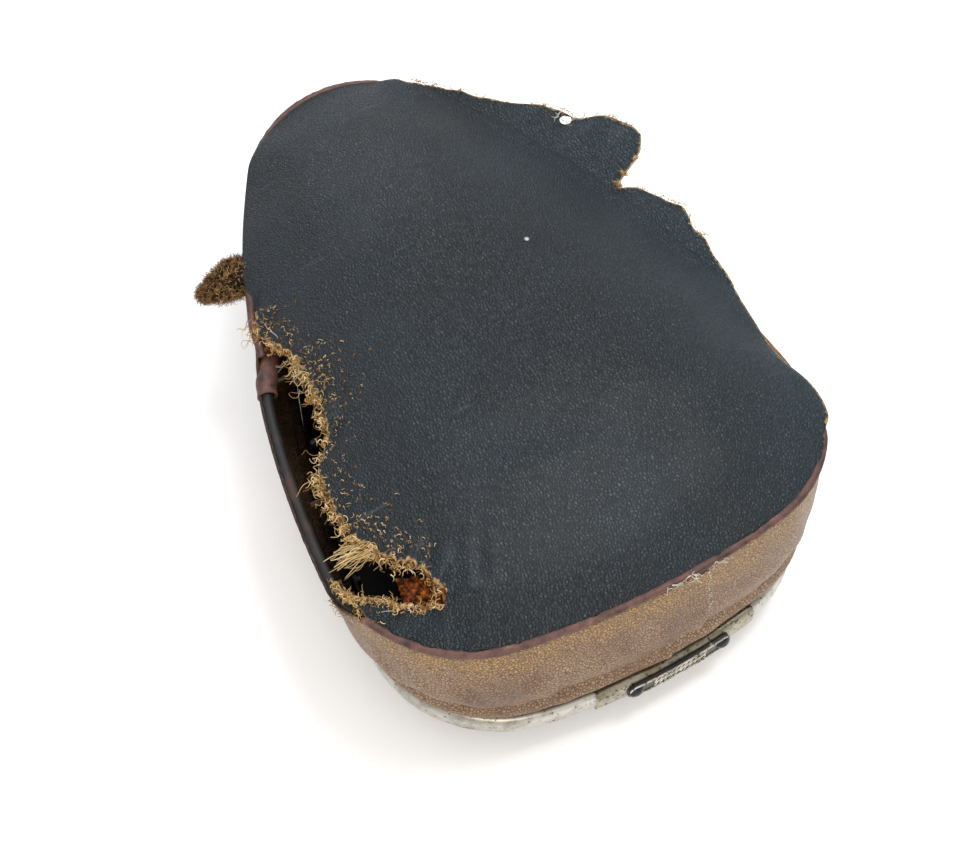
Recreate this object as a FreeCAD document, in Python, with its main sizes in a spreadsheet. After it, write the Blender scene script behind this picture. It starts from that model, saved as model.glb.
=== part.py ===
"""Sprung solo saddle: steel pan on a nose hinge, coil springs, padding and leather cover.

Millimetres. +Y points to the nose, +Z up, +X to the right. The origin is the middle of
the bounding box, on the plane that the nose bracket and the two rear buffers stand on.
"""
import FreeCAD, Part
import math
import os
from FreeCAD import Rotation, Vector

doc = FreeCAD.newDocument("saddle")
sheet = doc.addObject("Spreadsheet::Sheet", "sizes")

SIZES = {
    # egg-shaped outline of the seat top, outside the piping: tangent arcs
    "top_width": 270.0, "top_length": 369.6,
    "top_rear_radius": 439.0, "top_corner_radius": 72.0,
    "top_flank_radius": 546.0, "top_nose_radius": 62.0,
    # the base is narrower than the top; its outline is the inner face of the trim
    "flank_inset": 18.0, "nose_inset": 13.2, "rear_outset": 1.6,
    "base_rear_radius": 378.0, "base_corner_radius": 66.0,
    "base_flank_radius": 572.0, "base_nose_radius": 48.0,
    # steel pan: flat floor plate inside an upright band
    "pan_floor": 24.0, "pan_gauge": 1.2, "pan_band": 18.0,
    # aluminium trim moulding, the sleeve over its joint, and the badge
    "trim_bottom": 19.5, "trim_tall": 14.5, "trim_depth": 4.2, "trim_round": 2.6,
    "trim_joint": 2.0, "sleeve_half": 48.0, "sleeve_gauge": 1.2, "sleeve_lip": 3.8,
    "badge_half": 31.0, "badge_tall": 12.0, "badge_gauge": 1.4, "badge_round": 4.0,
    "badge_pitch": 26.5, "joint_aside": 15.0, "rivet_head": 4.6, "rivet_dome": 2.5,
    "rivet_shank": 1.5,
    "trim_stud_radius": 1.5, "trim_stud_reach": 7.0, "trim_nut_radius": 3.2,
    "trim_nut_thick": 2.4, "nut_gap": 0.1,
    # leather skirt between base and top
    "leather_gauge": 1.3, "skirt_bulge": 4.0, "fold_gap": 0.1,
    # piping and crowned top
    "piping_height": 107.5, "piping_radius": 2.6, "crown_rise": 23.0, "crown_power": 2.6,
    "seam_gap": 0.3, "wadding_gauge": 4.0, "layer_gap": 0.3, "hessian_gauge": 1.3,
    # springs and the wire frame that ties their tops
    "coil_radius": 24.0, "coil_wire": 1.6, "coil_turns": 6.0, "spring_top": 92.0,
    "front_row_inset": 85.6, "rear_row_inset": 56.0, "wide_column": 68.0,
    "narrow_column": 44.0, "frame_wire": 1.5, "edge_wire_radius": 3.2,
    "edge_wire_inset": 7.2, "long_wire_column": 40.0, "wire_gap": 0.1,
    "tie_ring": 4.1, "tie_wire": 0.6, "staple_gauge": 1.2, "staple_long": 7.0,
    # nose hinge
    "pin_inset": 30.4, "pin_height": 12.0, "pin_radius": 4.0, "pin_clearance": 0.05,
    "bracket_gap": 34.0, "bracket_gauge": 3.0, "bracket_ear": 8.6, "bracket_long": 64.0,
    "bracket_flange": 9.0, "bolt_radius": 4.25, "bolt_spacing": 28.0, "bolt_setback": 44.0,
    "lug_gauge": 2.5, "lug_ear": 8.0, "lug_side_gap": 0.6, "lug_long": 40.0,
    "lug_rivet_radius": 2.5, "lug_rivet_head": 4.5, "lug_rivet_dome": 1.8,
    "pin_head_radius": 6.5, "pin_head_thick": 3.0, "pin_tail": 6.0,
    "washer_radius": 8.0, "washer_gauge": 1.5, "split_radius": 1.1,
    # rear crossrail and rubber buffers
    "buffer_column": 62.0, "buffer_inset": 91.0, "buffer_radius": 18.0,
    "buffer_tall": 14.0, "buffer_round": 2.5, "rail_overhang": 26.0, "rail_wide": 38.0,
    "rail_gauge": 2.0, "stud_radius": 4.0, "stud_hole_gap": 0.25, "stud_root": 6.0,
    "nut_flat": 13.0, "nut_thick": 6.5, "stud_proud": 2.0,
}
for row, (alias, value) in enumerate(SIZES.items(), start=1):
    sheet.set(f"A{row}", alias)
    sheet.set(f"B{row}", str(value))
    sheet.setAlias(f"B{row}", alias)
doc.recompute()


def size(alias):
    """The sheet's value for one alias, in millimetres."""
    return float(sheet.get(alias))


# The overhang of the badge rivets behind the piping sets where the middle of the box lies.
REAR_OVERHANG = (size("rear_outset") + size("trim_depth") + size("sleeve_gauge")
                 + size("badge_gauge") + size("rivet_dome") + 2 * size("fold_gap"))
TOP_REAR = -size("top_length") / 2 + REAR_OVERHANG / 2
TOP_NOSE = TOP_REAR + size("top_length")
TOP = {
    "width": size("top_width"), "rear": TOP_REAR, "nose": TOP_NOSE,
    "radii": [size(f"top_{part}_radius") for part in ("rear", "corner", "flank", "nose")],
}
BASE = {
    "width": size("top_width") - 2 * size("flank_inset"),
    "rear": TOP_REAR - size("rear_outset"), "nose": TOP_NOSE - size("nose_inset"),
    "radii": [size(f"base_{part}_radius") for part in ("rear", "corner", "flank", "nose")],
}
PAN_TOP = size("pan_floor") + size("pan_gauge")
PAN_OUTSET = -(size("leather_gauge") + 2 * size("fold_gap"))
PIN_Y = TOP_NOSE - size("pin_inset")
BUFFER_Y = TOP_REAR + size("buffer_inset")
REAR_ROW = TOP_REAR + size("rear_row_inset")
ROWS = ("three", "three", "two", "one")
ROWS_GAP = (TOP_NOSE - size("front_row_inset") - REAR_ROW) / (len(ROWS) - 1)
OVERSHOOT = 5.0


def arc_centres(egg):
    """Centres of the rear, corner, flank and nose arcs, each tangent to the next."""
    rear_r, corner_r, flank_r, nose_r = egg["radii"]
    rear = Vector(0, egg["rear"] + rear_r, 0)
    nose = Vector(0, egg["nose"] - nose_r, 0)
    corner_x = egg["width"] / 2 - corner_r
    corner = Vector(corner_x, rear.y - math.sqrt((rear_r - corner_r)**2 - corner_x**2), 0)
    reach = nose - corner
    span = reach.Length
    from_corner, from_nose = flank_r - corner_r, flank_r - nose_r
    along = (from_corner**2 - from_nose**2 + span**2) / (2 * span)
    aside = math.sqrt(from_corner**2 - along**2)
    flank = corner + reach * (along / span) + Vector(-reach.y, reach.x, 0) * (aside / span)
    return rear, corner, flank, nose


def on_arc(centre, radius, towards):
    """Point at radius from centre, in the direction of another point."""
    way = towards - centre
    return centre + way * (radius / way.Length)


def outline(egg, offset=0.0, height=0.0, share=1.0):
    """Closed wire of six tangent arcs: offset outwards, then shrunk to share of its size."""
    rear_r, corner_r, flank_r, nose_r = (radius + offset for radius in egg["radii"])
    rear, corner, flank, nose = arc_centres(egg)
    rear_end = rear + (corner - rear) * (rear_r / (corner - rear).Length)
    flank_start = flank + (corner - flank) * (flank_r / (corner - flank).Length)
    flank_end = flank + (nose - flank) * (flank_r / (nose - flank).Length)
    corner_mid = on_arc(corner, corner_r, (rear_end + flank_start) * 0.5)
    flank_mid = on_arc(flank, flank_r, (flank_start + flank_end) * 0.5)
    middle = Vector(0, (egg["rear"] + egg["nose"]) / 2, 0)

    def place(point, side=1):
        at = Vector(side * point.x, point.y, 0)
        return middle + (at - middle) * share + Vector(0, 0, height)

    rear_mid = rear - Vector(0, rear_r, 0)
    nose_mid = nose + Vector(0, nose_r, 0)
    spans = [
        (place(rear_end, -1), place(rear_mid), place(rear_end)),
        (place(rear_end), place(corner_mid), place(flank_start)),
        (place(flank_start), place(flank_mid), place(flank_end)),
        (place(flank_end), place(nose_mid), place(flank_end, -1)),
        (place(flank_end, -1), place(flank_mid, -1), place(flank_start, -1)),
        (place(flank_start, -1), place(corner_mid, -1), place(rear_end, -1)),
    ]
    return Part.Wire([Part.Arc(*three).toShape() for three in spans])


def between(share, bulge=0.0):
    """Outline a share of the way from the base to the top, pushed out by a bulge."""
    def mix(low, high):
        return low + (high - low) * share
    return {
        "width": mix(BASE["width"], TOP["width"]) + 2 * bulge,
        "rear": mix(BASE["rear"], TOP["rear"]) - bulge,
        "nose": mix(BASE["nose"], TOP["nose"]) + bulge,
        "radii": [mix(low, high) + bulge for low, high in zip(BASE["radii"], TOP["radii"])],
    }


def prism(egg, offset, low, high):
    """Upright solid on an outline."""
    return Part.Face(outline(egg, offset, low)).extrude(Vector(0, 0, high - low))


def ring(egg, inner, outer, low, high):
    """Upright band between two offsets of one outline."""
    hole = prism(egg, inner, low - OVERSHOOT, high + OVERSHOOT)
    return prism(egg, outer, low, high).cut(hole)


def crowned(offset, low, edge, rise):
    """Crowned cushion form: straight side from low to edge, then a dome of that rise."""
    power = size("crown_power")
    shares = (1.0, 0.97, 0.9, 0.78, 0.62, 0.42, 0.2)
    rings = [outline(TOP, offset, edge + rise * (1 - share**power), share) for share in shares]
    dome = Part.makeLoft(rings, True)
    return prism(TOP, offset, low, edge).fuse(dome).removeSplitter()


def arc_bar(start, way, stations, radius):
    """Round bar through stations on arcs, each tangent to the one before it."""
    profile = Part.Face(Part.Wire(Part.makeCircle(radius, start, way)))
    closed = (stations[-1] - start).Length < radius / 100
    skins = [] if closed else [profile]
    for station in stations:
        step = station - start
        aside = step - way * step.dot(way)
        aside.normalize()
        bend = step.Length**2 / (2 * step.dot(aside))
        centre, axis = start + aside * bend, way.cross(aside)
        turn = 2 * math.atan2(step.dot(aside), step.dot(way))
        run = profile.revolve(centre, axis, math.degrees(turn))
        skins += [face for face in run.Faces if not isinstance(face.Surface, Part.Plane)]
        ends = [face for face in run.Faces if isinstance(face.Surface, Part.Plane)]
        profile = min(ends, key=lambda face: (face.CenterOfMass - station).Length)
        way = way * math.cos(turn) + aside * math.sin(turn)
        start = station
    skins += [] if closed else [profile]
    shell = Part.makeShell(skins)
    shell.sewShape()
    bar = Part.makeSolid(shell)
    return bar if bar.Volume > 0 else bar.reversed()


def solid_piece(label, shape):
    """Document object for a shape that is worked out from the sheet."""
    piece = doc.addObject("Part::Feature", label)
    piece.Label = label
    piece.Shape = shape
    return piece


def primitive(kind, label, turn=None, **formulas):
    """Part primitive whose sizes, and x, y, z place, are bound to formulas on the sheet."""
    piece = doc.addObject("Part::" + kind, label)
    piece.Label = label
    if turn:
        piece.Placement = FreeCAD.Placement(Vector(), Rotation(*turn))
    for name, formula in formulas.items():
        target = f"Placement.Base.{name}" if name in "xyz" else name
        piece.setExpression(target, formula)
    return piece


def joined(label, pieces):
    """Union of document objects, or a group of separate solids where they do not touch."""
    union = doc.addObject("Part::MultiFuse", label)
    union.Label = label
    union.Shapes = pieces
    return union


def cut(label, body, tools):
    """Body with every tool taken out of it."""
    taken = tools[0] if len(tools) == 1 else joined(label + "_tools", tools)
    result = doc.addObject("Part::Cut", label)
    result.Label = label
    result.Base = body
    result.Tool = taken
    return result


NODES = []


def node(piece):
    """Register a finished sub-part; its Label is the name of its file."""
    NODES.append(piece)
    return piece


ALONG_X = (Vector(0, 1, 0), 90)
ALONG_Y = (Vector(1, 0, 0), -90)
PIN_Y_TEXT = repr(PIN_Y)

# --- Nose bracket, bolted to the vehicle: plate, two ears, pin hole and two bolt holes.
EAR_INNER = "sizes.bracket_gap / 2"
EAR_OUTER = "sizes.bracket_gap / 2 + sizes.bracket_gauge"
PLATE_FRONT = f"{PIN_Y_TEXT} + sizes.bracket_ear"
plate = primitive(
    "Box", "bracket_plate", Length=f"2 * ({EAR_OUTER} + sizes.bracket_flange)",
    Width="sizes.bracket_long", Height="sizes.bracket_gauge",
    x=f"-({EAR_OUTER} + sizes.bracket_flange)", y=f"{PLATE_FRONT} - sizes.bracket_long")
ears = []
for name, left_face in (("right", EAR_INNER), ("left", f"-({EAR_OUTER})")):
    ears.append(primitive(
        "Box", f"bracket_ear_{name}", Length="sizes.bracket_gauge",
        Width="2 * sizes.bracket_ear", Height="sizes.pin_height",
        x=left_face, y=f"{PIN_Y_TEXT} - sizes.bracket_ear"))
    ears.append(primitive(
        "Cylinder", f"bracket_eye_{name}", turn=ALONG_X, Radius="sizes.bracket_ear",
        Height="sizes.bracket_gauge", x=left_face, y=PIN_Y_TEXT, z="sizes.pin_height"))
bracket_blank = joined("bracket_blank", [plate] + ears)
pin_bore = primitive(
    "Cylinder", "bracket_pin_bore", turn=ALONG_X,
    Radius="sizes.pin_radius + sizes.pin_clearance", Height=f"4 * ({EAR_OUTER})",
    x=f"-2 * ({EAR_OUTER})", y=PIN_Y_TEXT, z="sizes.pin_height")
bolt_bores = [primitive(
    "Cylinder", f"bracket_bolt_bore_{name}", Radius="sizes.bolt_radius",
    Height="3 * sizes.bracket_gauge", x=f"{sign} * sizes.bolt_spacing / 2",
    y=f"{PIN_Y_TEXT} - sizes.bolt_setback", z="-sizes.bracket_gauge")
    for name, sign in (("right", 1), ("left", -1))]
node(cut("nose_bracket", bracket_blank, [pin_bore] + bolt_bores))

# --- Hinge pin with a flat head on the right, a washer and a split pin on the left.
PIN_LEFT = f"-({EAR_OUTER} + sizes.washer_gauge + sizes.pin_tail)"
SPLIT_X = f"-({EAR_OUTER} + sizes.washer_gauge + sizes.pin_tail / 2)"
shank = primitive(
    "Cylinder", "pin_shank", turn=ALONG_X, Radius="sizes.pin_radius",
    Height=f"{EAR_OUTER} - ({PIN_LEFT})", x=PIN_LEFT, y=PIN_Y_TEXT, z="sizes.pin_height")
head = primitive(
    "Cylinder", "pin_head", turn=ALONG_X, Radius="sizes.pin_head_radius",
    Height="sizes.pin_head_thick", x=EAR_OUTER, y=PIN_Y_TEXT, z="sizes.pin_height")
split_bore = primitive(
    "Cylinder", "split_bore", turn=ALONG_Y, Radius="sizes.split_radius + sizes.pin_clearance",
    Height="4 * sizes.pin_radius", x=SPLIT_X, y=f"{PIN_Y_TEXT} - 2 * sizes.pin_radius",
    z="sizes.pin_height")
node(cut("hinge_pin", joined("pin_blank", [shank, head]), [split_bore]))
washer_disc = primitive(
    "Cylinder", "washer_disc", turn=ALONG_X, Radius="sizes.washer_radius",
    Height="sizes.washer_gauge", x=f"-({EAR_OUTER} + sizes.washer_gauge)", y=PIN_Y_TEXT,
    z="sizes.pin_height")
washer_bore = primitive(
    "Cylinder", "washer_bore", turn=ALONG_X, Radius="sizes.pin_radius + sizes.pin_clearance",
    Height="3 * sizes.washer_gauge", x=f"-({EAR_OUTER} + 2 * sizes.washer_gauge)",
    y=PIN_Y_TEXT, z="sizes.pin_height")
node(cut("pin_washer", washer_disc, [washer_bore]))
SPLIT_REACH = "(sizes.pin_radius + 3 * sizes.split_radius)"
split_leg = primitive(
    "Cylinder", "split_leg", turn=ALONG_Y, Radius="0.9 * sizes.split_radius",
    Height=f"2 * {SPLIT_REACH}", x=SPLIT_X, y=f"{PIN_Y_TEXT} - {SPLIT_REACH}",
    z="sizes.pin_height")
split_eye = primitive(
    "Torus", "split_eye", Radius1="2.4 * sizes.split_radius", Radius2="sizes.split_radius",
    x=SPLIT_X, y=f"{PIN_Y_TEXT} - {SPLIT_REACH} - 2.2 * sizes.split_radius",
    z="sizes.pin_height")
node(joined("split_pin", [split_leg, split_eye]))

# --- Hinge lugs: a U-shaped pressing riveted under the pan, its ears between the bracket's.
LUG_OUTER = "(sizes.bracket_gap / 2 - sizes.lug_side_gap)"
web = primitive(
    "Box", "lug_web", Length=f"2 * {LUG_OUTER}", Width="sizes.lug_long",
    Height="sizes.lug_gauge", x=f"-{LUG_OUTER}",
    y=f"{PIN_Y_TEXT} + sizes.lug_ear - sizes.lug_long", z="sizes.pan_floor - sizes.lug_gauge")
lug_pieces = [web]
for name, left_face in (("right", f"{LUG_OUTER} - sizes.lug_gauge"), ("left", f"-{LUG_OUTER}")):
    lug_pieces.append(primitive(
        "Box", f"lug_cheek_{name}", Length="sizes.lug_gauge", Width="2 * sizes.lug_ear",
        Height="sizes.pan_floor - sizes.lug_gauge - sizes.pin_height", x=left_face,
        y=f"{PIN_Y_TEXT} - sizes.lug_ear", z="sizes.pin_height"))
    lug_pieces.append(primitive(
        "Cylinder", f"lug_eye_{name}", turn=ALONG_X, Radius="sizes.lug_ear",
        Height="sizes.lug_gauge", x=left_face, y=PIN_Y_TEXT, z="sizes.pin_height"))
lug_bore = primitive(
    "Cylinder", "lug_pin_bore", turn=ALONG_X,
    Radius="sizes.pin_radius + sizes.pin_clearance", Height="2 * sizes.bracket_gap",
    x="-sizes.bracket_gap", y=PIN_Y_TEXT, z="sizes.pin_height")
RIVET_X = f"({LUG_OUTER} - 2 * sizes.lug_gauge - sizes.lug_rivet_radius)"
RIVET_PLACES = [(f"{side} * {RIVET_X}", f"{PIN_Y_TEXT} - {back} * sizes.lug_long")
                for side in (1, -1) for back in (0.0, 0.55)]
RIVET_LOW = "sizes.pan_floor - sizes.lug_gauge"
rivet_holes = [primitive(
    "Cylinder", f"lug_rivet_hole_{count}", Radius="sizes.lug_rivet_radius",
    Height="3 * sizes.lug_gauge", x=x, y=y, z=f"{RIVET_LOW} - sizes.lug_gauge")
    for count, (x, y) in enumerate(RIVET_PLACES)]
node(cut("hinge_lugs", joined("lug_blank", lug_pieces), [lug_bore] + rivet_holes))
rivets = []
for count, (x, y) in enumerate(RIVET_PLACES):
    rivets.append(primitive(
        "Cylinder", f"lug_rivet_shank_{count}", Radius="sizes.lug_rivet_radius",
        Height="sizes.lug_gauge + sizes.pan_gauge", x=x, y=y, z=RIVET_LOW))
    for name, tip in (("low", f"{RIVET_LOW} - sizes.lug_rivet_dome"),
                      ("high", "sizes.pan_floor + sizes.pan_gauge")):
        wide, narrow = "sizes.lug_rivet_head", "sizes.lug_rivet_head / 2"
        bottom, top = (narrow, wide) if name == "low" else (wide, narrow)
        rivets.append(primitive(
            "Cone", f"lug_rivet_{name}_{count}", Radius1=bottom, Radius2=top,
            Height="sizes.lug_rivet_dome", x=x, y=y, z=tip))
node(joined("lug_rivets", rivets))

# --- Rubber buffers on studs, under a crossrail that stiffens the pan at the rear.
BUFFER_Y_TEXT = repr(BUFFER_Y)
RAIL_HALF = "(sizes.buffer_column + sizes.rail_overhang)"
rail_block = primitive(
    "Box", "rail_block", Length=f"2 * {RAIL_HALF}", Width="sizes.rail_wide",
    Height="sizes.pan_floor - sizes.buffer_tall", x=f"-{RAIL_HALF}",
    y=f"{BUFFER_Y_TEXT} - sizes.rail_wide / 2", z="sizes.buffer_tall")
rail_hollow = primitive(
    "Box", "rail_hollow", Length=f"2 * ({RAIL_HALF} - sizes.rail_gauge)",
    Width="sizes.rail_wide - 2 * sizes.rail_gauge", Height="sizes.pan_floor",
    x=f"-({RAIL_HALF} - sizes.rail_gauge)",
    y=f"{BUFFER_Y_TEXT} - sizes.rail_wide / 2 + sizes.rail_gauge",
    z="sizes.buffer_tall + sizes.rail_gauge")
STUD_TOP = ("(sizes.pan_floor + sizes.pan_gauge + sizes.washer_gauge + sizes.nut_thick"
            " + sizes.stud_proud)")
STUD_LOW = "(sizes.buffer_tall - sizes.stud_root)"
NUT_LOW = "sizes.pan_floor + sizes.pan_gauge + sizes.washer_gauge"
sides = (("right", 1), ("left", -1))
stud_holes = [primitive(
    "Cylinder", f"rail_stud_hole_{name}", Radius="sizes.stud_radius + sizes.stud_hole_gap",
    Height="sizes.pan_floor", x=f"{sign} * sizes.buffer_column", y=BUFFER_Y_TEXT)
    for name, sign in sides]
node(cut("rear_crossrail", rail_block, [rail_hollow] + stud_holes))
studs, washers, nuts = [], [], []
for name, sign in sides:
    column = {"x": f"{sign} * sizes.buffer_column", "y": BUFFER_Y_TEXT}
    foot = primitive("Cylinder", f"buffer_foot_{name}", Radius="sizes.buffer_radius",
                     Height="sizes.buffer_tall - sizes.buffer_round",
                     z="sizes.buffer_round", **column)
    toe = primitive("Cone", f"buffer_toe_{name}",
                    Radius1="sizes.buffer_radius - sizes.buffer_round",
                    Radius2="sizes.buffer_radius", Height="sizes.buffer_round", **column)
    socket = primitive("Cylinder", f"buffer_socket_{name}", Radius="sizes.stud_radius",
                       Height="sizes.buffer_tall", z=STUD_LOW, **column)
    rubber = joined(f"buffer_blank_{name}", [foot, toe])
    node(cut(f"buffer_{name}", rubber, [socket]))
    studs.append(primitive("Cylinder", f"stud_{name}", Radius="sizes.stud_radius",
                           Height=f"{STUD_TOP} - {STUD_LOW}", z=STUD_LOW, **column))
    disc = primitive("Cylinder", f"stud_washer_disc_{name}", Radius="sizes.washer_radius",
                     Height="sizes.washer_gauge", z="sizes.pan_floor + sizes.pan_gauge",
                     **column)
    hexagon = primitive("Prism", f"nut_blank_{name}", Circumradius="sizes.nut_flat / sqrt(3)",
                        Height="sizes.nut_thick", z=NUT_LOW, **column)
    hole = primitive("Cylinder", f"stud_clear_{name}", Radius="sizes.stud_radius",
                     Height="2 * sizes.pan_floor", z="sizes.pan_floor", **column)
    washers.append(cut(f"stud_washer_{name}", disc, [hole]))
    nuts.append(cut(f"stud_nut_{name}", hexagon, [hole]))
node(joined("buffer_studs", studs))
node(joined("buffer_washers", washers))
node(joined("buffer_nuts", nuts))
doc.recompute()

# --- Places of the coil springs, of the studs of the trim, and of the badge rivets.
columns = {"three": (-size("wide_column"), 0.0, size("wide_column")),
           "two": (-size("narrow_column"), size("narrow_column")), "one": (0.0,)}
SPRINGS = [(x, REAR_ROW + count * ROWS_GAP)
           for count, kind in enumerate(ROWS) for x in columns[kind]]


def along_rear(reach):
    """Point on the rear arc of the base at a sideways reach, and the outward direction."""
    centre = arc_centres(BASE)[0]
    lean = math.asin(reach / BASE["radii"][0])
    out = Vector(math.sin(lean), -math.cos(lean), 0)
    return centre + out * BASE["radii"][0], out


def trim_stud_lines(per_corner=1, per_flank=3, per_nose=1):
    """Points on the base outline, evenly spaced on each arc, with outward directions."""
    wire = outline(BASE)
    lines = []
    for edge, count in zip(wire.Edges[1:], (per_corner, per_flank, per_nose, per_flank,
                                            per_corner)):
        first, last = edge.ParameterRange
        for step in range(count):
            at = first + (last - first) * (step + 0.5) / count
            point = edge.valueAt(at)
            out = point - edge.Curve.Center
            lines.append((point, out * (1 / out.Length)))
    return lines


# a nut's rim meets the curved band before its middle does, so it sits off by that much
NUT_RADIUS = size("trim_nut_radius")
TIGHTEST = min(BASE["radii"]) + PAN_OUTSET - size("pan_gauge")
NUT_SEAT = TIGHTEST - math.sqrt(TIGHTEST**2 - NUT_RADIUS**2) + size("nut_gap")
STUD_Z = PAN_TOP + NUT_RADIUS + size("nut_gap")
UP = Vector(0, 0, 1)


def rod(point, way, start, end, radius):
    """Round rod on a line from point along way, from start to end."""
    return Part.makeCylinder(radius, end - start, point + way * start, way)


def trim_rods(start, end, radius):
    """One rod for each trim stud, measured outwards from the inner face of the trim."""
    return [rod(point + UP * STUD_Z, out, start, end, radius)
            for point, out in trim_stud_lines()]


# --- Pan: floor plate and the band welded round it, with holes for studs and rivets.
PAN_IN = PAN_OUTSET - size("pan_gauge")
floor_plate = prism(BASE, PAN_IN, size("pan_floor"), PAN_TOP)
for _, sign in sides:
    stud_at = Vector(sign * size("buffer_column"), BUFFER_Y, 0)
    floor_plate = floor_plate.cut(rod(stud_at, UP, 0, PAN_TOP + OVERSHOOT,
                                      size("stud_radius") + size("stud_hole_gap")))
rivet_x = (size("bracket_gap") / 2 - size("lug_side_gap") - 2 * size("lug_gauge")
           - size("lug_rivet_radius"))
for sign in (1, -1):
    for back in (0.0, 0.55):
        rivet_at = Vector(sign * rivet_x, PIN_Y - back * size("lug_long"), 0)
        floor_plate = floor_plate.cut(
            rod(rivet_at, UP, 0, PAN_TOP + OVERSHOOT, size("lug_rivet_radius")))
node(solid_piece("seat_pan", floor_plate))
stud_bores = Part.makeCompound(trim_rods(-size("trim_stud_reach"), size("trim_depth") / 2,
                                         size("trim_stud_radius")))
band = ring(BASE, PAN_IN, PAN_OUTSET, size("pan_floor"), PAN_TOP + size("pan_band"))
node(solid_piece("pan_band", band.cut(stud_bores)))

# --- Trim: half-round aluminium moulding round the base, with its joint at the rear.
TRIM_TOP = size("trim_bottom") + size("trim_tall")
trim = ring(BASE, 0.0, size("trim_depth"), size("trim_bottom"), TRIM_TOP)
outer_edges = [edge for edge in trim.Edges
               if abs(edge.Vertexes[0].Z - edge.Vertexes[-1].Z) < 0.01
               and edge.Curve.TypeId == "Part::GeomCircle"
               and any(abs(edge.Curve.Radius - radius - size("trim_depth")) < 0.01
                       for radius in BASE["radii"])]
trim = trim.makeFillet(min(size("trim_round"), 0.8 * size("trim_depth")), outer_edges)
joint_gap = Part.makeBox(size("trim_joint"), 4 * size("trim_depth"), 2 * size("trim_tall"),
                         Vector(size("joint_aside") - size("trim_joint") / 2,
                                BASE["rear"] - 3 * size("trim_depth"),
                                size("trim_bottom") - size("trim_tall") / 2))
node(solid_piece("trim_moulding", trim.cut(joint_gap).cut(stud_bores)))
node(solid_piece("trim_studs", Part.makeCompound(
    trim_rods(-size("trim_stud_reach"), size("trim_depth") / 2, size("trim_stud_radius")))))
nut_rings = [nut.cut(bore) for nut, bore in zip(
    trim_rods(PAN_IN - NUT_SEAT - size("trim_nut_thick"), PAN_IN - NUT_SEAT, NUT_RADIUS),
    trim_rods(PAN_IN - 2 * size("trim_nut_thick"), 0, size("trim_stud_radius")))]
node(solid_piece("trim_nuts", Part.makeCompound(nut_rings)))

# --- Sleeve: C-section cover that wraps the trim's joint.
GAP = size("fold_gap")
SLEEVE_IN = size("trim_depth") + GAP
SLEEVE_OUT = SLEEVE_IN + size("sleeve_gauge")
SLEEVE_LOW = size("trim_bottom") - GAP - size("sleeve_gauge")
SLEEVE_HIGH = TRIM_TOP + GAP + size("sleeve_gauge")


def rear_window(half, low, high, corner=0.0):
    """Block that keeps a stretch of the rear about the joint, its four corners rounded."""
    deep = 12 * size("trim_depth")
    block = Part.makeBox(2 * half, deep, high - low,
                         Vector(size("joint_aside") - half, BASE["rear"] - deep / 2, low))
    if corner:
        edges = [edge for edge in block.Edges
                 if abs(edge.Vertexes[0].Y - edge.Vertexes[-1].Y) > 0.9 * deep]
        block = block.makeFillet(corner, edges)
    return block


shell = ring(BASE, SLEEVE_OUT - size("sleeve_lip"), SLEEVE_OUT, SLEEVE_LOW, SLEEVE_HIGH)
core = ring(BASE, -OVERSHOOT, SLEEVE_IN, size("trim_bottom") - GAP, TRIM_TOP + GAP)
sleeve = shell.cut(core).common(rear_window(size("sleeve_half"), SLEEVE_LOW, SLEEVE_HIGH))
BADGE_IN = SLEEVE_OUT + GAP
BADGE_OUT = BADGE_IN + size("badge_gauge")
BADGE_MID = (SLEEVE_LOW + SLEEVE_HIGH) / 2
BADGE_LOW = BADGE_MID - size("badge_tall") / 2
badge = ring(BASE, BADGE_IN, BADGE_OUT, BADGE_LOW, BADGE_LOW + size("badge_tall"))
badge = badge.common(rear_window(size("badge_half"), BADGE_LOW, BADGE_LOW + size("badge_tall"),
                                 size("badge_round")))
badge_rivets = []
for sign in (1, -1):
    point, out = along_rear(size("joint_aside") + sign * size("badge_pitch"))
    seat = point + UP * BADGE_MID
    bore = rod(seat, out, 0, BADGE_OUT + OVERSHOOT, size("rivet_shank"))
    sleeve = sleeve.cut(bore)
    badge = badge.cut(bore)
    shank_rod = rod(seat, out, SLEEVE_IN, BADGE_OUT + GAP, size("rivet_shank"))
    head_r, rise = size("rivet_head"), size("rivet_dome")
    ball = (head_r**2 + rise**2) / (2 * rise)
    dome = Part.makeSphere(ball, seat + out * (BADGE_OUT + rise - ball), out)
    keep = rod(seat, out, BADGE_OUT, BADGE_OUT + 2 * rise, head_r)
    badge_rivets.append(shank_rod.fuse(dome.common(keep)).removeSplitter())
node(solid_piece("joint_sleeve", sleeve))
node(solid_piece("badge_plate", badge))
node(solid_piece("badge_rivets", Part.makeCompound(badge_rivets)))

# --- Skirt: leather band tucked behind the trim, bulging out, up to the piping.
SKIRT_LOW = size("trim_bottom") + GAP
SKIRT_HIGH = size("piping_height") - size("piping_radius") - size("seam_gap")
TUCK_HIGH = TRIM_TOP + GAP


def skirt_form(inset):
    """Solid inside the skirt's outer face, drawn in by an inset."""
    tuck = prism(BASE, -GAP - inset, SKIRT_LOW, TUCK_HIGH)
    rise = SKIRT_HIGH - TUCK_HIGH
    bulge = size("skirt_bulge")
    steps = ((0.0, -GAP), (0.16, 0.6 * bulge), (0.5, bulge), (0.82, 0.4 * bulge),
             (1.0, -size("piping_radius") / 2))
    rings = [outline(between(share, push), -inset, TUCK_HIGH + share * rise)
             for share, push in steps]
    return tuck.fuse(Part.makeLoft(rings, True)).removeSplitter()


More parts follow.
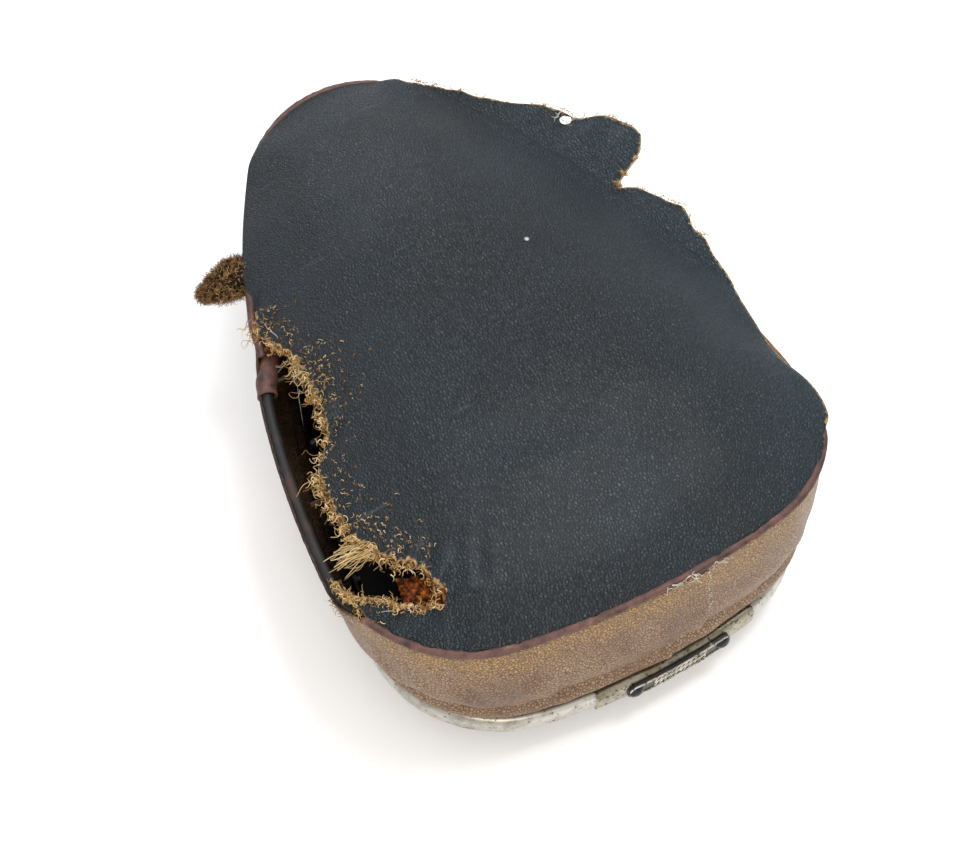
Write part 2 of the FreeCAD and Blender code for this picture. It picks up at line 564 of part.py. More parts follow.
skirt_inner = skirt_form(size("leather_gauge"))
caps = [prism(between(1.0, -size("piping_radius") / 2), -size("leather_gauge"),
              SKIRT_HIGH - GAP, SKIRT_HIGH + OVERSHOOT),
        prism(BASE, -GAP - size("leather_gauge"), SKIRT_LOW - OVERSHOOT, SKIRT_LOW + GAP)]
skirt = skirt_form(0.0).cut(skirt_inner).cut(Part.makeCompound(caps[:1])).cut(caps[1])
node(solid_piece("skirt", skirt.cut(stud_bores)))

# --- Coil springs, each held to the pan by a staple over the end of its lowest turn.
COIL_LOW = PAN_TOP + GAP + size("coil_wire")
COIL_HIGH = size("spring_top") - size("coil_wire")
SPANS_PER_TURN = 4


def coil():
    """Round wire wound into a cylinder, as pairs of tangent arcs; ends towards +X."""
    climb = COIL_HIGH - COIL_LOW
    pitch = climb / round(size("coil_turns"))
    radius = size("coil_radius")
    lean = math.atan2(pitch, 2 * math.pi * radius)

    def on_helix(turn):
        angle = 2 * math.pi * turn
        flat = Vector(-math.sin(angle), math.cos(angle), 0)
        point = Vector(radius * math.cos(angle), radius * math.sin(angle), pitch * turn)
        return point, flat * math.cos(lean) + UP * math.sin(lean)

    stations = []
    spans = round(size("coil_turns")) * SPANS_PER_TURN
    for count in range(spans):
        point, way = on_helix(count / SPANS_PER_TURN)
        next_point, next_way = on_helix((count + 1) / SPANS_PER_TURN)
        gap, both = next_point - point, way + next_way
        spread = 2 * (1 - way.dot(next_way))
        reach = (math.sqrt(gap.dot(both)**2 + spread * gap.dot(gap)) - gap.dot(both)) / spread
        stations += [(point + way * reach + next_point - next_way * reach) * 0.5, next_point]
    first, first_way = on_helix(0)
    return arc_bar(first, first_way, stations, size("coil_wire"))


staples = []
wound = coil()
for count, (x, y) in enumerate(SPRINGS, start=1):
    node(solid_piece(f"spring_{count}", wound.translated(Vector(x, y, COIL_LOW))))
    inner = 2 * (size("coil_wire") + 2 * GAP)
    outer = inner + 2 * size("staple_gauge")
    corner = Vector(x + size("coil_radius") - outer / 2, y - size("staple_long") / 2, PAN_TOP)
    block = Part.makeBox(outer, size("staple_long"), inner + GAP + size("staple_gauge"), corner)
    hollow = Part.makeBox(inner, size("staple_long"), inner + GAP,
                          corner + Vector(size("staple_gauge"), 0, 0))
    staples.append(block.cut(hollow))
node(solid_piece("spring_staples", Part.makeCompound(staples)))

# --- Wire frame on the springs: crosswise wires, lengthwise wires over them, edge wire.
WIRE = size("frame_wire")
CROSS_Z = size("spring_top") + WIRE + size("wire_gap")
LONG_Z = CROSS_Z + 2 * WIRE + size("wire_gap")
EDGE_Z = CROSS_Z + WIRE + size("edge_wire_radius") + size("wire_gap")
EDGE_IN = -size("edge_wire_inset")
inside_edge = EDGE_IN - size("edge_wire_radius") - size("wire_gap")


def rods_within(lines, way, height, offset):
    """Rods through points, cut to length by an offset of the top outline."""
    limit = prism(TOP, offset, height - OVERSHOOT, height + OVERSHOOT)
    reach = size("top_length") + size("top_width")
    return Part.makeCompound([
        rod(Vector(x, y, height), way, -reach, reach, WIRE).common(limit) for x, y in lines])


cross_lines = [(0.0, REAR_ROW + count * ROWS_GAP) for count in range(len(ROWS))]
long_lines = [(side * size("long_wire_column"), 0.0) for side in (-1, 0, 1)]
node(solid_piece("cross_wires", rods_within(cross_lines, Vector(1, 0, 0), CROSS_Z, EDGE_IN)))
node(solid_piece("long_wires", rods_within(long_lines, Vector(0, 1, 0), LONG_Z, inside_edge)))


def tube_on(egg, offset, height, radius):
    """Round section carried all the way round an outline."""
    edges = outline(egg, offset, height).Edges
    first = edges[0]
    return arc_bar(first.valueAt(first.FirstParameter), first.tangentAt(first.FirstParameter),
                   [edge.valueAt(edge.LastParameter) for edge in edges], radius)


node(solid_piece("edge_wire", tube_on(TOP, EDGE_IN, EDGE_Z, size("edge_wire_radius"))))
TIE_WAY = Vector(1, 1, 0)
ties = [Part.makeTorus(size("tie_ring"), size("tie_wire"),
                       Vector(x + size("coil_radius"), y, size("spring_top") + GAP / 2),
                       TIE_WAY) for x, y in SPRINGS]
node(solid_piece("spring_ties", Part.makeCompound(ties)))

# --- Padding: hessian on the wires, hair pad, cotton wadding over it.
HESSIAN_LOW = EDGE_Z + size("edge_wire_radius") + size("wire_gap")
HESSIAN_HIGH = HESSIAN_LOW + size("hessian_gauge")
COVER_IN = 2 * size("piping_radius") + size("seam_gap")
COVER_LOW = size("piping_height") - size("piping_radius")
COVER_EDGE = size("piping_height")
WADDING_IN = COVER_IN + size("leather_gauge") + size("layer_gap")
HAIR_IN = WADDING_IN + size("wadding_gauge") + size("layer_gap")
HAIR_LOW = HESSIAN_HIGH + size("layer_gap")
HAIR_RISE = (size("crown_rise") - size("leather_gauge") - size("wadding_gauge")
             - 2 * size("layer_gap"))
WADDING_RISE = size("crown_rise") - size("leather_gauge") - size("layer_gap")
node(solid_piece("hessian", prism(TOP, -HAIR_IN, HESSIAN_LOW, HESSIAN_HIGH)))
hair = crowned(-HAIR_IN, HAIR_LOW, COVER_EDGE, HAIR_RISE)
node(solid_piece("hair_pad", hair))
wadding_void = crowned(-HAIR_IN + size("layer_gap"), HAIR_LOW - OVERSHOOT, COVER_EDGE,
                       HAIR_RISE + size("layer_gap"))
wadding = crowned(-WADDING_IN, HAIR_LOW, COVER_EDGE, WADDING_RISE).cut(wadding_void)
node(solid_piece("wadding", wadding))

# --- Leather top cover, and the piping in the seam between cover and skirt.
cover_void = crowned(-COVER_IN - size("leather_gauge"), COVER_LOW - OVERSHOOT, COVER_EDGE,
                     size("crown_rise") - size("leather_gauge"))
cover = crowned(-COVER_IN, COVER_LOW, COVER_EDGE, size("crown_rise")).cut(cover_void)
node(solid_piece("top_cover", cover))
node(solid_piece("piping", tube_on(TOP, -size("piping_radius"), size("piping_height"),
                                   size("piping_radius"))))

doc.recompute()
for item in doc.Objects:
    if "Invalid" in item.State or "Error" in item.State:
        raise SystemExit(f"{item.Label} did not build: {item.State}")
os.makedirs("parts", exist_ok=True)
for piece in NODES:
    if piece.Shape.isNull() or not piece.Shape.isValid() or not piece.Shape.Solids:
        raise SystemExit(f"{piece.Label} has no valid solid")
    piece.Shape.exportStep(f"parts/{piece.Label}.step")
    box = piece.Shape.BoundBox
    print(f"{piece.Label:16s} {len(piece.Shape.Solids):2d} solids {piece.Shape.Volume:11.1f} mm3"
          f"  x {box.XMin:7.1f} {box.XMax:7.1f}  y {box.YMin:7.1f} {box.YMax:7.1f}"
          f"  z {box.ZMin:6.1f} {box.ZMax:6.1f}")
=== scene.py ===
"""Old sprung solo saddle with a torn leather top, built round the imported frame.

Lengths are worked out in millimetres, in the frame of the CAD model, and become metres
where a mesh is made. Pieces follow in the order in which the saddle is put together.
"""

import bmesh
import bpy
import numpy as np
from mathutils import Matrix, Vector


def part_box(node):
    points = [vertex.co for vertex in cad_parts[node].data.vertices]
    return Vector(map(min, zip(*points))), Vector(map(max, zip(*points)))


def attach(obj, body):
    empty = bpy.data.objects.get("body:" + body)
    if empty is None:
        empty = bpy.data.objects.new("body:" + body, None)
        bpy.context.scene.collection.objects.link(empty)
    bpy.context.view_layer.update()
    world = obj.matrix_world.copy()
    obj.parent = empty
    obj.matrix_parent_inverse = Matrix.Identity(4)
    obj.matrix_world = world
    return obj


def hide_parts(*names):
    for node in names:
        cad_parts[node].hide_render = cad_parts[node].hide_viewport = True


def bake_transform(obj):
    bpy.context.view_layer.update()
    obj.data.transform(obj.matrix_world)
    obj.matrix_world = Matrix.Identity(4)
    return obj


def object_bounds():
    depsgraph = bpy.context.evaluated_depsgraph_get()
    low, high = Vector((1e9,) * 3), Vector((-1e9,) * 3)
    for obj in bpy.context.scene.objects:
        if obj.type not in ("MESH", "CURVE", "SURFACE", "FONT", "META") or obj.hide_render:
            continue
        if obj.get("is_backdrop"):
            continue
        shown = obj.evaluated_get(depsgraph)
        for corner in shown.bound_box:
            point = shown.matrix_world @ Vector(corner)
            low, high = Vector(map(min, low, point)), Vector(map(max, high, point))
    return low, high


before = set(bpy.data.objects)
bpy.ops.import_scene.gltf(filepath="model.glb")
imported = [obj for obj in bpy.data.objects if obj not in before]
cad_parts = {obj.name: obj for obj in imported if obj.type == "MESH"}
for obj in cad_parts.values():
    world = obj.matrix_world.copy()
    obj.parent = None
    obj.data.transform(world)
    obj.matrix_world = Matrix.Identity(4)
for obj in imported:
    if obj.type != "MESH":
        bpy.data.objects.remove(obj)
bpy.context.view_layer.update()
MM = 0.001
TURN = 2 * np.pi

# --- Camera, floor and light --------------------------------------------------------------
# The saddle stands on a white table. It is seen from behind on its left, from high up, by
# a short telephoto lens. Soft light comes from all round, and one wide panel stands
# beyond the nose, where the leather's crown mirrors it.
VIEW_AZIMUTH, VIEW_ELEVATION, VIEW_ROLL = np.radians([-30.03, 57.14, -1.22])
VIEW_DISTANCE, VIEW_TARGET = 987.9, np.array([-10.9, -31.1, 60.0])
LENS, SENSOR = 67.97, 36.0


def linear(value):
    """Linear RGBA of an sRGB hex value. Any other value comes back as it is."""
    if not isinstance(value, str):
        return value
    share = np.array([int(value[start:start + 2], 16) for start in (1, 3, 5)]) / 255
    return (*np.where(share <= 0.04045, share / 12.92, ((share + 0.055) / 1.055)**2.4), 1.0)


def add_node(tree, kind, feeds=None, stops=None, **settings):
    """One shader node: its properties, its inputs (values or outputs), and a ramp's stops."""
    made = tree.nodes.new("ShaderNode" + kind)
    for name, value in settings.items():
        setattr(made, name, value)
    for name, value in (feeds or {}).items():
        if isinstance(value, bpy.types.NodeSocket):
            tree.links.new(value, made.inputs[name])
        else:
            made.inputs[name].default_value = linear(value)
    if stops:
        marks = made.color_ramp.elements
        while len(marks) < len(stops):
            marks.new(0.5)
        for mark, (place, colour) in zip(marks, stops):
            mark.position, mark.color = place, linear(colour)
    return made


def start_material(name, **sockets):
    """Material with a Principled shader whose plain sockets are set; returns its tree too."""
    material = bpy.data.materials.new(name)
    material.use_nodes = True
    shader = material.node_tree.nodes["Principled BSDF"]
    for socket, value in sockets.items():
        shader.inputs[socket.replace("_", " ")].default_value = linear(value)
    return material, material.node_tree, shader


def rows_of_axes(azimuth, elevation, roll):
    """Right, up and back axes of a camera, turned about its own line of sight by roll."""
    back = np.array([np.sin(azimuth) * np.cos(elevation),
                     -np.cos(azimuth) * np.cos(elevation), np.sin(elevation)])
    right = np.array([np.cos(azimuth), np.sin(azimuth), 0.0])
    up = np.cross(back, right)
    return (right * np.cos(roll) - up * np.sin(roll),
            right * np.sin(roll) + up * np.cos(roll), back)


axes = rows_of_axes(VIEW_AZIMUTH, VIEW_ELEVATION, VIEW_ROLL)
camera_data = bpy.data.cameras.new("camera")
camera_data.lens, camera_data.sensor_width = LENS, SENSOR
camera_data.clip_end = 20.0
camera = bpy.data.objects.new("camera", camera_data)
camera.matrix_world = Matrix.Translation(
    (VIEW_TARGET + axes[2] * VIEW_DISTANCE) * MM) @ Matrix(np.array(axes).T).to_4x4()
bpy.context.scene.collection.objects.link(camera)
bpy.context.scene.camera = camera
bpy.context.scene.view_settings.view_transform = "Standard"


def area_light(name, place, aim, wide, tall, power, colour):
    """Soft panel at a place, in metres, that faces its aim."""
    data = bpy.data.lights.new(name, "AREA")
    data.shape, data.size, data.size_y = "RECTANGLE", wide, tall
    data.energy, data.color = power, linear(colour)[:3]
    light = bpy.data.objects.new(name, data)
    light.location = place
    light.rotation_euler = (Vector(place) - Vector(aim)).to_track_quat("Z", "Y").to_euler()
    bpy.context.scene.collection.objects.link(light)


area_light("beyond_nose", (0.25, 1.25, 1.0), (0, 0, 0.1), 0.7, 0.5, 7, "#f4f8ff")
area_light("overhead", (0.40, 0.0, 1.45), (0, 0, 0.1), 0.7, 0.6, 13, "#ffffff")
area_light("behind_left", (-0.5, -1.2, 0.8), (0, 0, 0.05), 0.8, 0.6, 12, "#fff6ea")
world = bpy.data.worlds.new("white_room")
world.use_nodes = True
world.node_tree.nodes["Background"].inputs["Color"].default_value = linear("#fbfcff")
world.node_tree.nodes["Background"].inputs["Strength"].default_value = 0.78
bpy.context.scene.world = world

bpy.ops.mesh.primitive_plane_add(size=16, location=(0, 0, -0.0005))
floor = bpy.context.object
floor.name = "floor"
floor_paint, _, _ = start_material("white_table", Base_Color="#ffffff", Roughness=0.9)
floor.data.materials.append(floor_paint)
floor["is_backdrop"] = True

# --- Outlines -----------------------------------------------------------------------------
# Top and base are egg shapes made of tangent arcs: rear, corners, flanks and nose. Both are
# walked with the same steps, so that a point of one has its partner on the other.
ARC_STEPS = {"rear": 57, "corner": 84, "flank": 176, "nose": 43}
TOP_RADII = (439.0, 72.0, 546.0, 62.0)
BASE_RADII = (378.0, 66.0, 572.0, 48.0)
TRIM_DEPTH = 4.2
RIPPLE_WAVES = 7


def egg(width, rear, nose, radii):
    """Points and outward normals round an egg, from the middle of the rear by the right.

    The rear and nose arcs are centred on the middle line, the corner arc touches the
    greatest width and the rear arc, and the flank arc touches corner and nose arcs.
    """
    rear_r, corner_r, flank_r, nose_r = radii
    rear_c = np.array([0, rear + rear_r])
    nose_c = np.array([0, nose - nose_r])
    corner_x = width / 2 - corner_r
    corner_c = np.array([corner_x,
                         rear_c[1] - np.sqrt((rear_r - corner_r)**2 - corner_x**2)])
    reach = nose_c - corner_c
    span = np.hypot(*reach)
    near, far = flank_r - corner_r, flank_r - nose_r
    along = (near**2 - far**2 + span**2) / (2 * span)
    aside = np.sqrt(near**2 - along**2)
    flank_c = corner_c + (reach * along + np.array([-reach[1], reach[0]]) * aside) / span

    def angle(way):
        """Direction of a way in plan, from the x axis."""
        return np.arctan2(way[1], way[0])

    turns = (-np.pi / 2, angle(corner_c - rear_c), angle(corner_c - flank_c),
             angle(nose_c - flank_c), np.pi / 2)
    points, normals = [], []
    for centre, radius, start, end, steps in zip(
            (rear_c, corner_c, flank_c, nose_c), radii, turns[:-1], turns[1:],
            ARC_STEPS.values()):
        sweep = np.linspace(start, end, steps, endpoint=False)
        way = np.c_[np.cos(sweep), np.sin(sweep)]
        points.append(centre + radius * way)
        normals.append(way)
    points, normals = np.vstack(points), np.vstack(normals)
    far_points = np.vstack([points, [[0, nose]]])[:0:-1] * [-1, 1]
    far_normals = np.vstack([normals, [[0, 1]]])[:0:-1] * [-1, 1]
    return np.vstack([points, far_points]), np.vstack([normals, far_normals])


def box_mm(name):
    """Lowest and highest corner of a CAD node, in millimetres."""
    low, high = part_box(name)
    return np.array(low) / MM, np.array(high) / MM


def centre_mm(name):
    """Middle of a CAD node's box, in millimetres."""
    return sum(box_mm(name)) / 2


piping_low, piping_high = box_mm("piping")
trim_low, trim_high = box_mm("trim_moulding")
TOP_LINE, TOP_OUT = egg(piping_high[0] - piping_low[0], piping_low[1], piping_high[1], TOP_RADII)
BASE_LINE, BASE_OUT = egg(trim_high[0] - trim_low[0] - 2 * TRIM_DEPTH, trim_low[1] + TRIM_DEPTH,
                          trim_high[1] - TRIM_DEPTH, BASE_RADII)
ROUND = len(TOP_LINE)
ON_RIGHT = TOP_LINE[:, 0] > 0
ALONG = TOP_LINE[:, 1]
MIDDLE = np.array([0.0, (piping_low[1] + piping_high[1]) / 2])
PIPING_R = (piping_high[2] - piping_low[2]) / 2
SEAM_Z = piping_low[2] + PIPING_R
TRIM_TOP = trim_high[2]


def soft_step(value, low, high):
    """Smooth step from 0 at low to 1 at high."""
    share = np.clip((value - low) / (high - low), 0, 1)
    return share * share * (3 - 2 * share)


def bump(value, low, high, blur):
    """1 between low and high, falling smoothly to 0 over blur on each side."""
    return soft_step(value, low - blur, low + blur) * (1 - soft_step(value, high - blur,
                                                                     high + blur))


def ripple(x, y, pitch, seed):
    """Smooth noise about 0, within about 1: sines in several directions, summed."""
    draw = np.random.default_rng(seed)
    total = 0.0
    for _ in range(RIPPLE_WAVES):
        turn, phase, scale = draw.uniform(0, TURN), draw.uniform(0, TURN), draw.uniform(0.7, 1.5)
        total = total + np.sin((x * np.cos(turn) + y * np.sin(turn)) * TURN * scale / pitch
                               + phase)
    return total / np.sqrt(RIPPLE_WAVES) / 1.4


def rim_ripple(pitch, seed):
    """Ripple round the outline, one number for each of its points."""
    return ripple(TOP_LINE[:, 0], ALONG, pitch, seed)


def between(first, last, share):
    """Mix of two values: the first at share 0, the last at 1."""
    return first * (1 - share) + last * share


# Years of use pushed the seam out of line: outwards on the left, inwards on the right.
LEFT_FLARE, FRONT_FLARE, RIGHT_SAG = 2.6, 4.6, -5.0
SWAY = ((LEFT_FLARE * bump(ALONG, -118, 30, 22)
         + FRONT_FLARE * bump(ALONG, 46, 168, 16)) * ~ON_RIGHT
        + RIGHT_SAG * bump(ALONG, -112, -58, 22) * ON_RIGHT)


# --- Leather skirt ------------------------------------------------------------------------
# A band of tan grained hide, 1.3 mm thick, is tucked behind the trim, folds over its own
# crease, swells outwards and ends under the piping. Its ends lap in one seam at the rear.
# On the left it has torn off the seam and wraps the steel edge with a ragged border.
LEATHER = 1.3
FOLD_Z, CREASE_Z, SWELL_Z = 42.0, 51.0, 66.0
# the last two heights: where the hide's golden colour begins and where it is full; it stands for
# rubbing and for painted highlight
LIP, RUB_AND_HIGHLIGHT_FROM, RUB_AND_HIGHLIGHT_FULL = 2.6, 62.0, 98.0
LEVELS = 44


def mesh_piece(name, points, faces, smooth=True):
    """Object at the origin from points in millimetres and faces as index rows."""
    mesh = bpy.data.meshes.new(name)
    mesh.from_pydata((np.asarray(points, float).reshape(-1, 3) * MM).tolist(), [],
                     [face for block in faces for face in np.asarray(block).tolist()])
    mesh.polygons.foreach_set("use_smooth", np.full(len(mesh.polygons), smooth))
    mesh.update()
    piece = bpy.data.objects.new(name, mesh)
    bpy.context.scene.collection.objects.link(piece)
    return piece


def grid_faces(rows, columns, close_rows=False, close_columns=False):
    """Quads between the points of a grid numbered row by row; a closed way wraps round."""
    row = np.arange(rows if close_rows else rows - 1)
    column = np.arange(columns if close_columns else columns - 1)
    row, column = (part.ravel() for part in np.meshgrid(row, column, indexing="ij"))
    next_row, next_column = (row + 1) % rows, (column + 1) % columns
    return np.c_[row * columns + column, row * columns + next_column,
                 next_row * columns + next_column, next_row * columns + column]


def fan(tip, start, count):
    """Triangles from a tip point to a ring of count points that begins at start."""
    here = np.arange(count)
    return np.c_[np.full(count, tip), start + here, start + (here + 1) % count]


def point_value(piece, name, values):
    """Stores one number per vertex, for the material to read."""
    piece.data.attributes.new(name, "FLOAT", "POINT").data.foreach_set(
        "value", np.asarray(values, np.float32).ravel())


def thicken(piece, thickness, offset=-1.0):
    """Gives a sheet a wall: inwards, or to both sides at offset 0."""
    wall = piece.modifiers.new("wall", "SOLIDIFY")
    wall.thickness, wall.offset = thickness * MM, offset
    wall.use_even_offset = False


def grain_bump(tree, cell, stretch, depth, wrinkle):
    """Normal of pebbled hide: cells of a real size with dark joints, over soft creases.

    Returns the bump's normal, the 0 to 1 height of the cells, and the object coordinates.
    """
    place = add_node(tree, "TexCoord").outputs["Object"]
    slant = add_node(tree, "Mapping", {"Vector": place, "Rotation": (0.0, 0.0, 0.55),
                                       "Scale": (1.0, stretch, 1.0)})
    jitter = add_node(tree, "TexNoise", {"Vector": place, "Scale": 0.7 / (cell * MM),
                                         "Detail": 2.0})
    shifted = add_node(tree, "VectorMath", {0: jitter.outputs["Color"],
                                            1: (0.7 * cell * MM,) * 3, 2: slant.outputs[0]},
                       operation="MULTIPLY_ADD")
    cells = add_node(tree, "TexVoronoi", {"Vector": shifted.outputs[0], "Scale": 1 / (cell * MM)},
                     feature="DISTANCE_TO_EDGE")
    height = add_node(tree, "ValToRGB", {"Fac": cells.outputs["Distance"]},
                      stops=[(0.0, (0, 0, 0, 1)), (0.1, (0.55, 0.55, 0.55, 1)),
                             (0.34, (1, 1, 1, 1))])
    folds = add_node(tree, "TexNoise", {"Vector": place, "Scale": 55.0, "Detail": 4.0})
    low = add_node(tree, "Bump", {"Height": folds.outputs["Fac"], "Strength": 0.6,
                                  "Distance": wrinkle * MM})
    top = add_node(tree, "Bump", {"Height": height.outputs["Color"], "Strength": 1.0,
                                  "Distance": depth * MM, "Normal": low.outputs["Normal"]})
    return top.outputs["Normal"], height.outputs["Color"], place


def patchy(tree, place, value, scale, detail, grain, low, high):
    """Mask with broken edges: a value times noise, cut between a low and a high share."""
    noise = add_node(tree, "TexNoise", {"Vector": place, "Scale": scale, "Detail": detail,
                                        "Roughness": grain})
    product = add_node(tree, "Math", {0: value, 1: noise.outputs["Fac"]}, operation="MULTIPLY")
    cut = add_node(tree, "ValToRGB", {"Fac": product.outputs[0]},
                   stops=[(low, (0, 0, 0, 1)), (high, (1, 1, 1, 1))])
    return cut.outputs["Color"]


def laid_over(tree, colour, *layers):
    """Colour with others laid over it in turn, each through its own 0 to 1 mask."""
    for mask, over in layers:
        colour = add_node(tree, "Mix", {0: mask, 6: colour, 7: over},
                          data_type="RGBA").outputs[2]
    return colour


def stored(tree, name):
    """Value that a mesh stores for each of its points."""
    return add_node(tree, "Attribute", attribute_name=name).outputs["Fac"]


# Vegetable-tanned cowhide with a printed grain, once tan and now scuffed: golden towards the top,
# partly rubbed under the piping and partly a painted highlight on its upper swell, mauve-brown
# and dirty near the trim, dark in the grain.
skirt_hide, tree, shader = start_material("tan_grained_hide", Specular_IOR_Level=0.4)
normal, height, place = grain_bump(tree, 1.7, 0.75, 0.5, 1.4)
stain = add_node(tree, "TexNoise", {"Vector": place, "Scale": 22.0, "Detail": 6.0,
                                    "Roughness": 0.6})
body_tone = add_node(tree, "ValToRGB", {"Fac": stain.outputs["Fac"]},
                     stops=[(0.3, "#6c4f3a"), (0.48, "#8e6f52"), (0.7, "#9e8467")])
# golden patches that grow towards the top of the skirt: partly rubbing, partly a painted highlight on
# the upper swell
golden = patchy(tree, place, stored(tree, "rubbed"), 60.0, 7.0, 0.7, 0.3, 0.46)
face = laid_over(tree, body_tone.outputs["Color"], (golden, "#9f7d4b"),
                 (stored(tree, "raw_edge"), "#c4b49c"))
grained = laid_over(tree, "#46301f", (height, face))
soiled = laid_over(tree, grained, (stored(tree, "soiled"), "#33201a"))
tree.links.new(soiled, shader.inputs["Base Color"])
tree.links.new(normal, shader.inputs["Normal"])
dull = add_node(tree, "MapRange", {"Value": stain.outputs["Fac"], "To Min": 0.3, "To Max": 0.5})
tree.links.new(dull.outputs[0], shader.inputs["Roughness"])

skirt_low, skirt_high = box_mm("skirt")
climb = np.linspace(0, 1, LEVELS)[:, None]
high = skirt_low[2] + (skirt_high[2] - skirt_low[2]) * climb
above = np.clip((high - TRIM_TOP) / (skirt_high[2] - TRIM_TOP), 0, 1)
steps_x, steps_y = TOP_LINE[:, 0][None, :], ALONG[None, :]
wander = rim_ripple(90, 3)[None]
fine = ripple(steps_x + 0.6 * high, steps_y, 26, 4)
swell = (4.0 * np.sin(np.pi * above**0.9) * (above > 0)
         + (2.2 + 0.8 * wander) * np.exp(-((high - FOLD_Z - 1.5 * wander) / 4.5)**2)
         - (2.6 + 1.0 * wander) * np.exp(-((high - CREASE_Z - 2.5 * wander) / 3.2)**2)
         + 1.2 * np.exp(-((high - SWELL_Z) / 9.0)**2)
         + 0.7 * fine * np.sin(np.pi * above))
lap_x = np.interp(high, (22, 44, 55, 76, 107), (8, 12, 27, 32, 28))
lap_gap = lap_x - steps_x
at_rear = steps_y < -150
swell += 1.6 * (lap_gap > 0) * np.exp(-np.clip(lap_gap, 0, None) / 16) * at_rear * (above > 0)
share = above**0.85
path = between(BASE_LINE[None], (TOP_LINE - 1.6 * TOP_OUT)[None], share[..., None])
outward = between(BASE_OUT[None], TOP_OUT[None], share[..., None])
torn_side = bump(ALONG, -116, 40, 8) * ~ON_RIGHT
path += outward * (swell + share**2 * SWAY[None] + LIP * share**5 * torn_side[None])[..., None]
ragged = torn_side * (1.0 + 1.4 * np.abs(ripple(ALONG, 0 * ALONG, 9, 5)))
high = np.broadcast_to(high, swell.shape) - share**6 * ragged[None]
skirt = mesh_piece("leather_skirt", np.dstack([path, high]),
                   [grid_faces(LEVELS, ROUND, close_columns=True)])
point_value(skirt, "raw_edge", np.exp(-np.abs(lap_gap + 0.5) / 0.9) * at_rear * (above > 0.05))
# share of golden colour, rising with height: partly rubbing, partly painted highlight
point_value(skirt, "rubbed", np.clip((high - RUB_AND_HIGHLIGHT_FROM) / (RUB_AND_HIGHLIGHT_FULL - RUB_AND_HIGHLIGHT_FROM), 0, 1))
point_value(skirt, "soiled", share**5 * torn_side[None])
thicken(skirt, LEATHER)
skirt.data.materials.append(skirt_hide)
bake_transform(skirt)
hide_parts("skirt")

# --- Steel edge band under the seam -------------------------------------------------------
# A heavy wire runs round under the seam and holds the top in shape. On the torn side it
# has sprung out to the seam line and lies bare, black and grimy, in the skirt's lip.
EDGE_Z = centre_mm("edge_wire")[2]
EDGE_INSET, BARE_INSET, BARE_LIFT, BAND_RADIUS = 7.2, 2.9, 2.6, 3.1


def tube(paths, radius, sides=8, closed=False, lobes=0.0):
    """Points and faces of round tubes along paths, an array of paths x stations x 3.

    Each station's ring lies square to the path, in a frame made from the path's direction
    and the upward axis. radius is a number or an array of paths x stations. lobes swells
    the ring twice round into two ridges. Open ends close in a point just past the end.
    """
    paths = np.asarray(paths, float)
    count, stations, _ = paths.shape
    radius = np.broadcast_to(np.asarray(radius, float), (count, stations))
    if closed:
        run = np.roll(paths, -1, 1) - np.roll(paths, 1, 1)
    else:
        run = np.gradient(paths, axis=1)
    run = run / np.maximum(np.linalg.norm(run, axis=-1, keepdims=True), 1e-9)
    level = np.zeros_like(run)
    level[..., 2] = 1.0
    steep = np.abs(run[..., 2]) > 0.95
    level[steep] = (1.0, 0.0, 0.0)
    side = np.cross(run, level)
    side = side / np.linalg.norm(side, axis=-1, keepdims=True)
    up = np.cross(side, run)
    turn = np.arange(sides) / sides * TURN
    reach = radius[..., None] * (1 + lobes * np.cos(2 * turn))
    ring = (paths[:, :, None] + reach[..., None] * (np.cos(turn)[:, None] * side[:, :, None]
                                                    + np.sin(turn)[:, None] * up[:, :, None]))
    body = grid_faces(stations, sides, close_rows=closed, close_columns=True)
    starts = np.arange(count)[:, None, None] * stations * sides
    faces = [(body[None] + starts).reshape(-1, 4)]
    points = ring.reshape(-1, 3)
    if not closed:
        tips = np.stack([paths[:, 0] - run[:, 0] * radius[:, :1] * 0.5,
                         paths[:, -1] + run[:, -1] * radius[:, -1:] * 0.5], 1).reshape(-1, 3)
        first = len(points)
        points = np.vstack([points, tips])
        here = np.arange(sides)
        after = (here + 1) % sides
        for which, row, order in ((0, 0, 1), (1, stations - 1, -1)):
            base = np.arange(count)[:, None] * stations * sides + row * sides
            tip = np.broadcast_to(first + 2 * np.arange(count)[:, None] + which, (count, sides))
            fan = np.stack([tip, base + after, base + here], -1)[..., ::order].reshape(-1, 3)
            faces.append(fan)
    return points, faces


def mottled(name, scale, detail, stops, gloss=None, pits=None, grain=0.5, twist=0.0,
            **sockets):
    """Material coloured by noise, which may also set its roughness range and its bumps.

    stops are ramp places and colours, and pits the bumps' strength and their height in
    millimetres. grain is the noise's own roughness and twist its distortion.
    """
    made, tree, shader = start_material(name, **sockets)
    place = add_node(tree, "TexCoord").outputs["Object"]
    noise = add_node(tree, "TexNoise", {"Vector": place, "Scale": scale, "Detail": detail,
                                        "Roughness": grain, "Distortion": twist}).outputs["Fac"]
    tone = add_node(tree, "ValToRGB", {"Fac": noise}, stops=stops)
    tree.links.new(tone.outputs["Color"], shader.inputs["Base Color"])
    if gloss:
        rough = add_node(tree, "MapRange", {"Value": noise, "To Min": gloss[0],
                                            "To Max": gloss[1]})
        tree.links.new(rough.outputs[0], shader.inputs["Roughness"])
    if pits:
        dents = add_node(tree, "Bump", {"Height": noise, "Strength": pits[0],
                                        "Distance": pits[1] * MM})
        tree.links.new(dents.outputs["Normal"], shader.inputs["Normal"])
    return made


def face_out(piece):
    """Turns a closed mesh's faces outwards after merging doubled points."""
    bm = bmesh.new()
    bm.from_mesh(piece.data)
    bmesh.ops.remove_doubles(bm, verts=bm.verts, dist=1e-7)
    bmesh.ops.recalc_face_normals(bm, faces=bm.faces)
    bm.to_mesh(piece.data)
    bm.free()


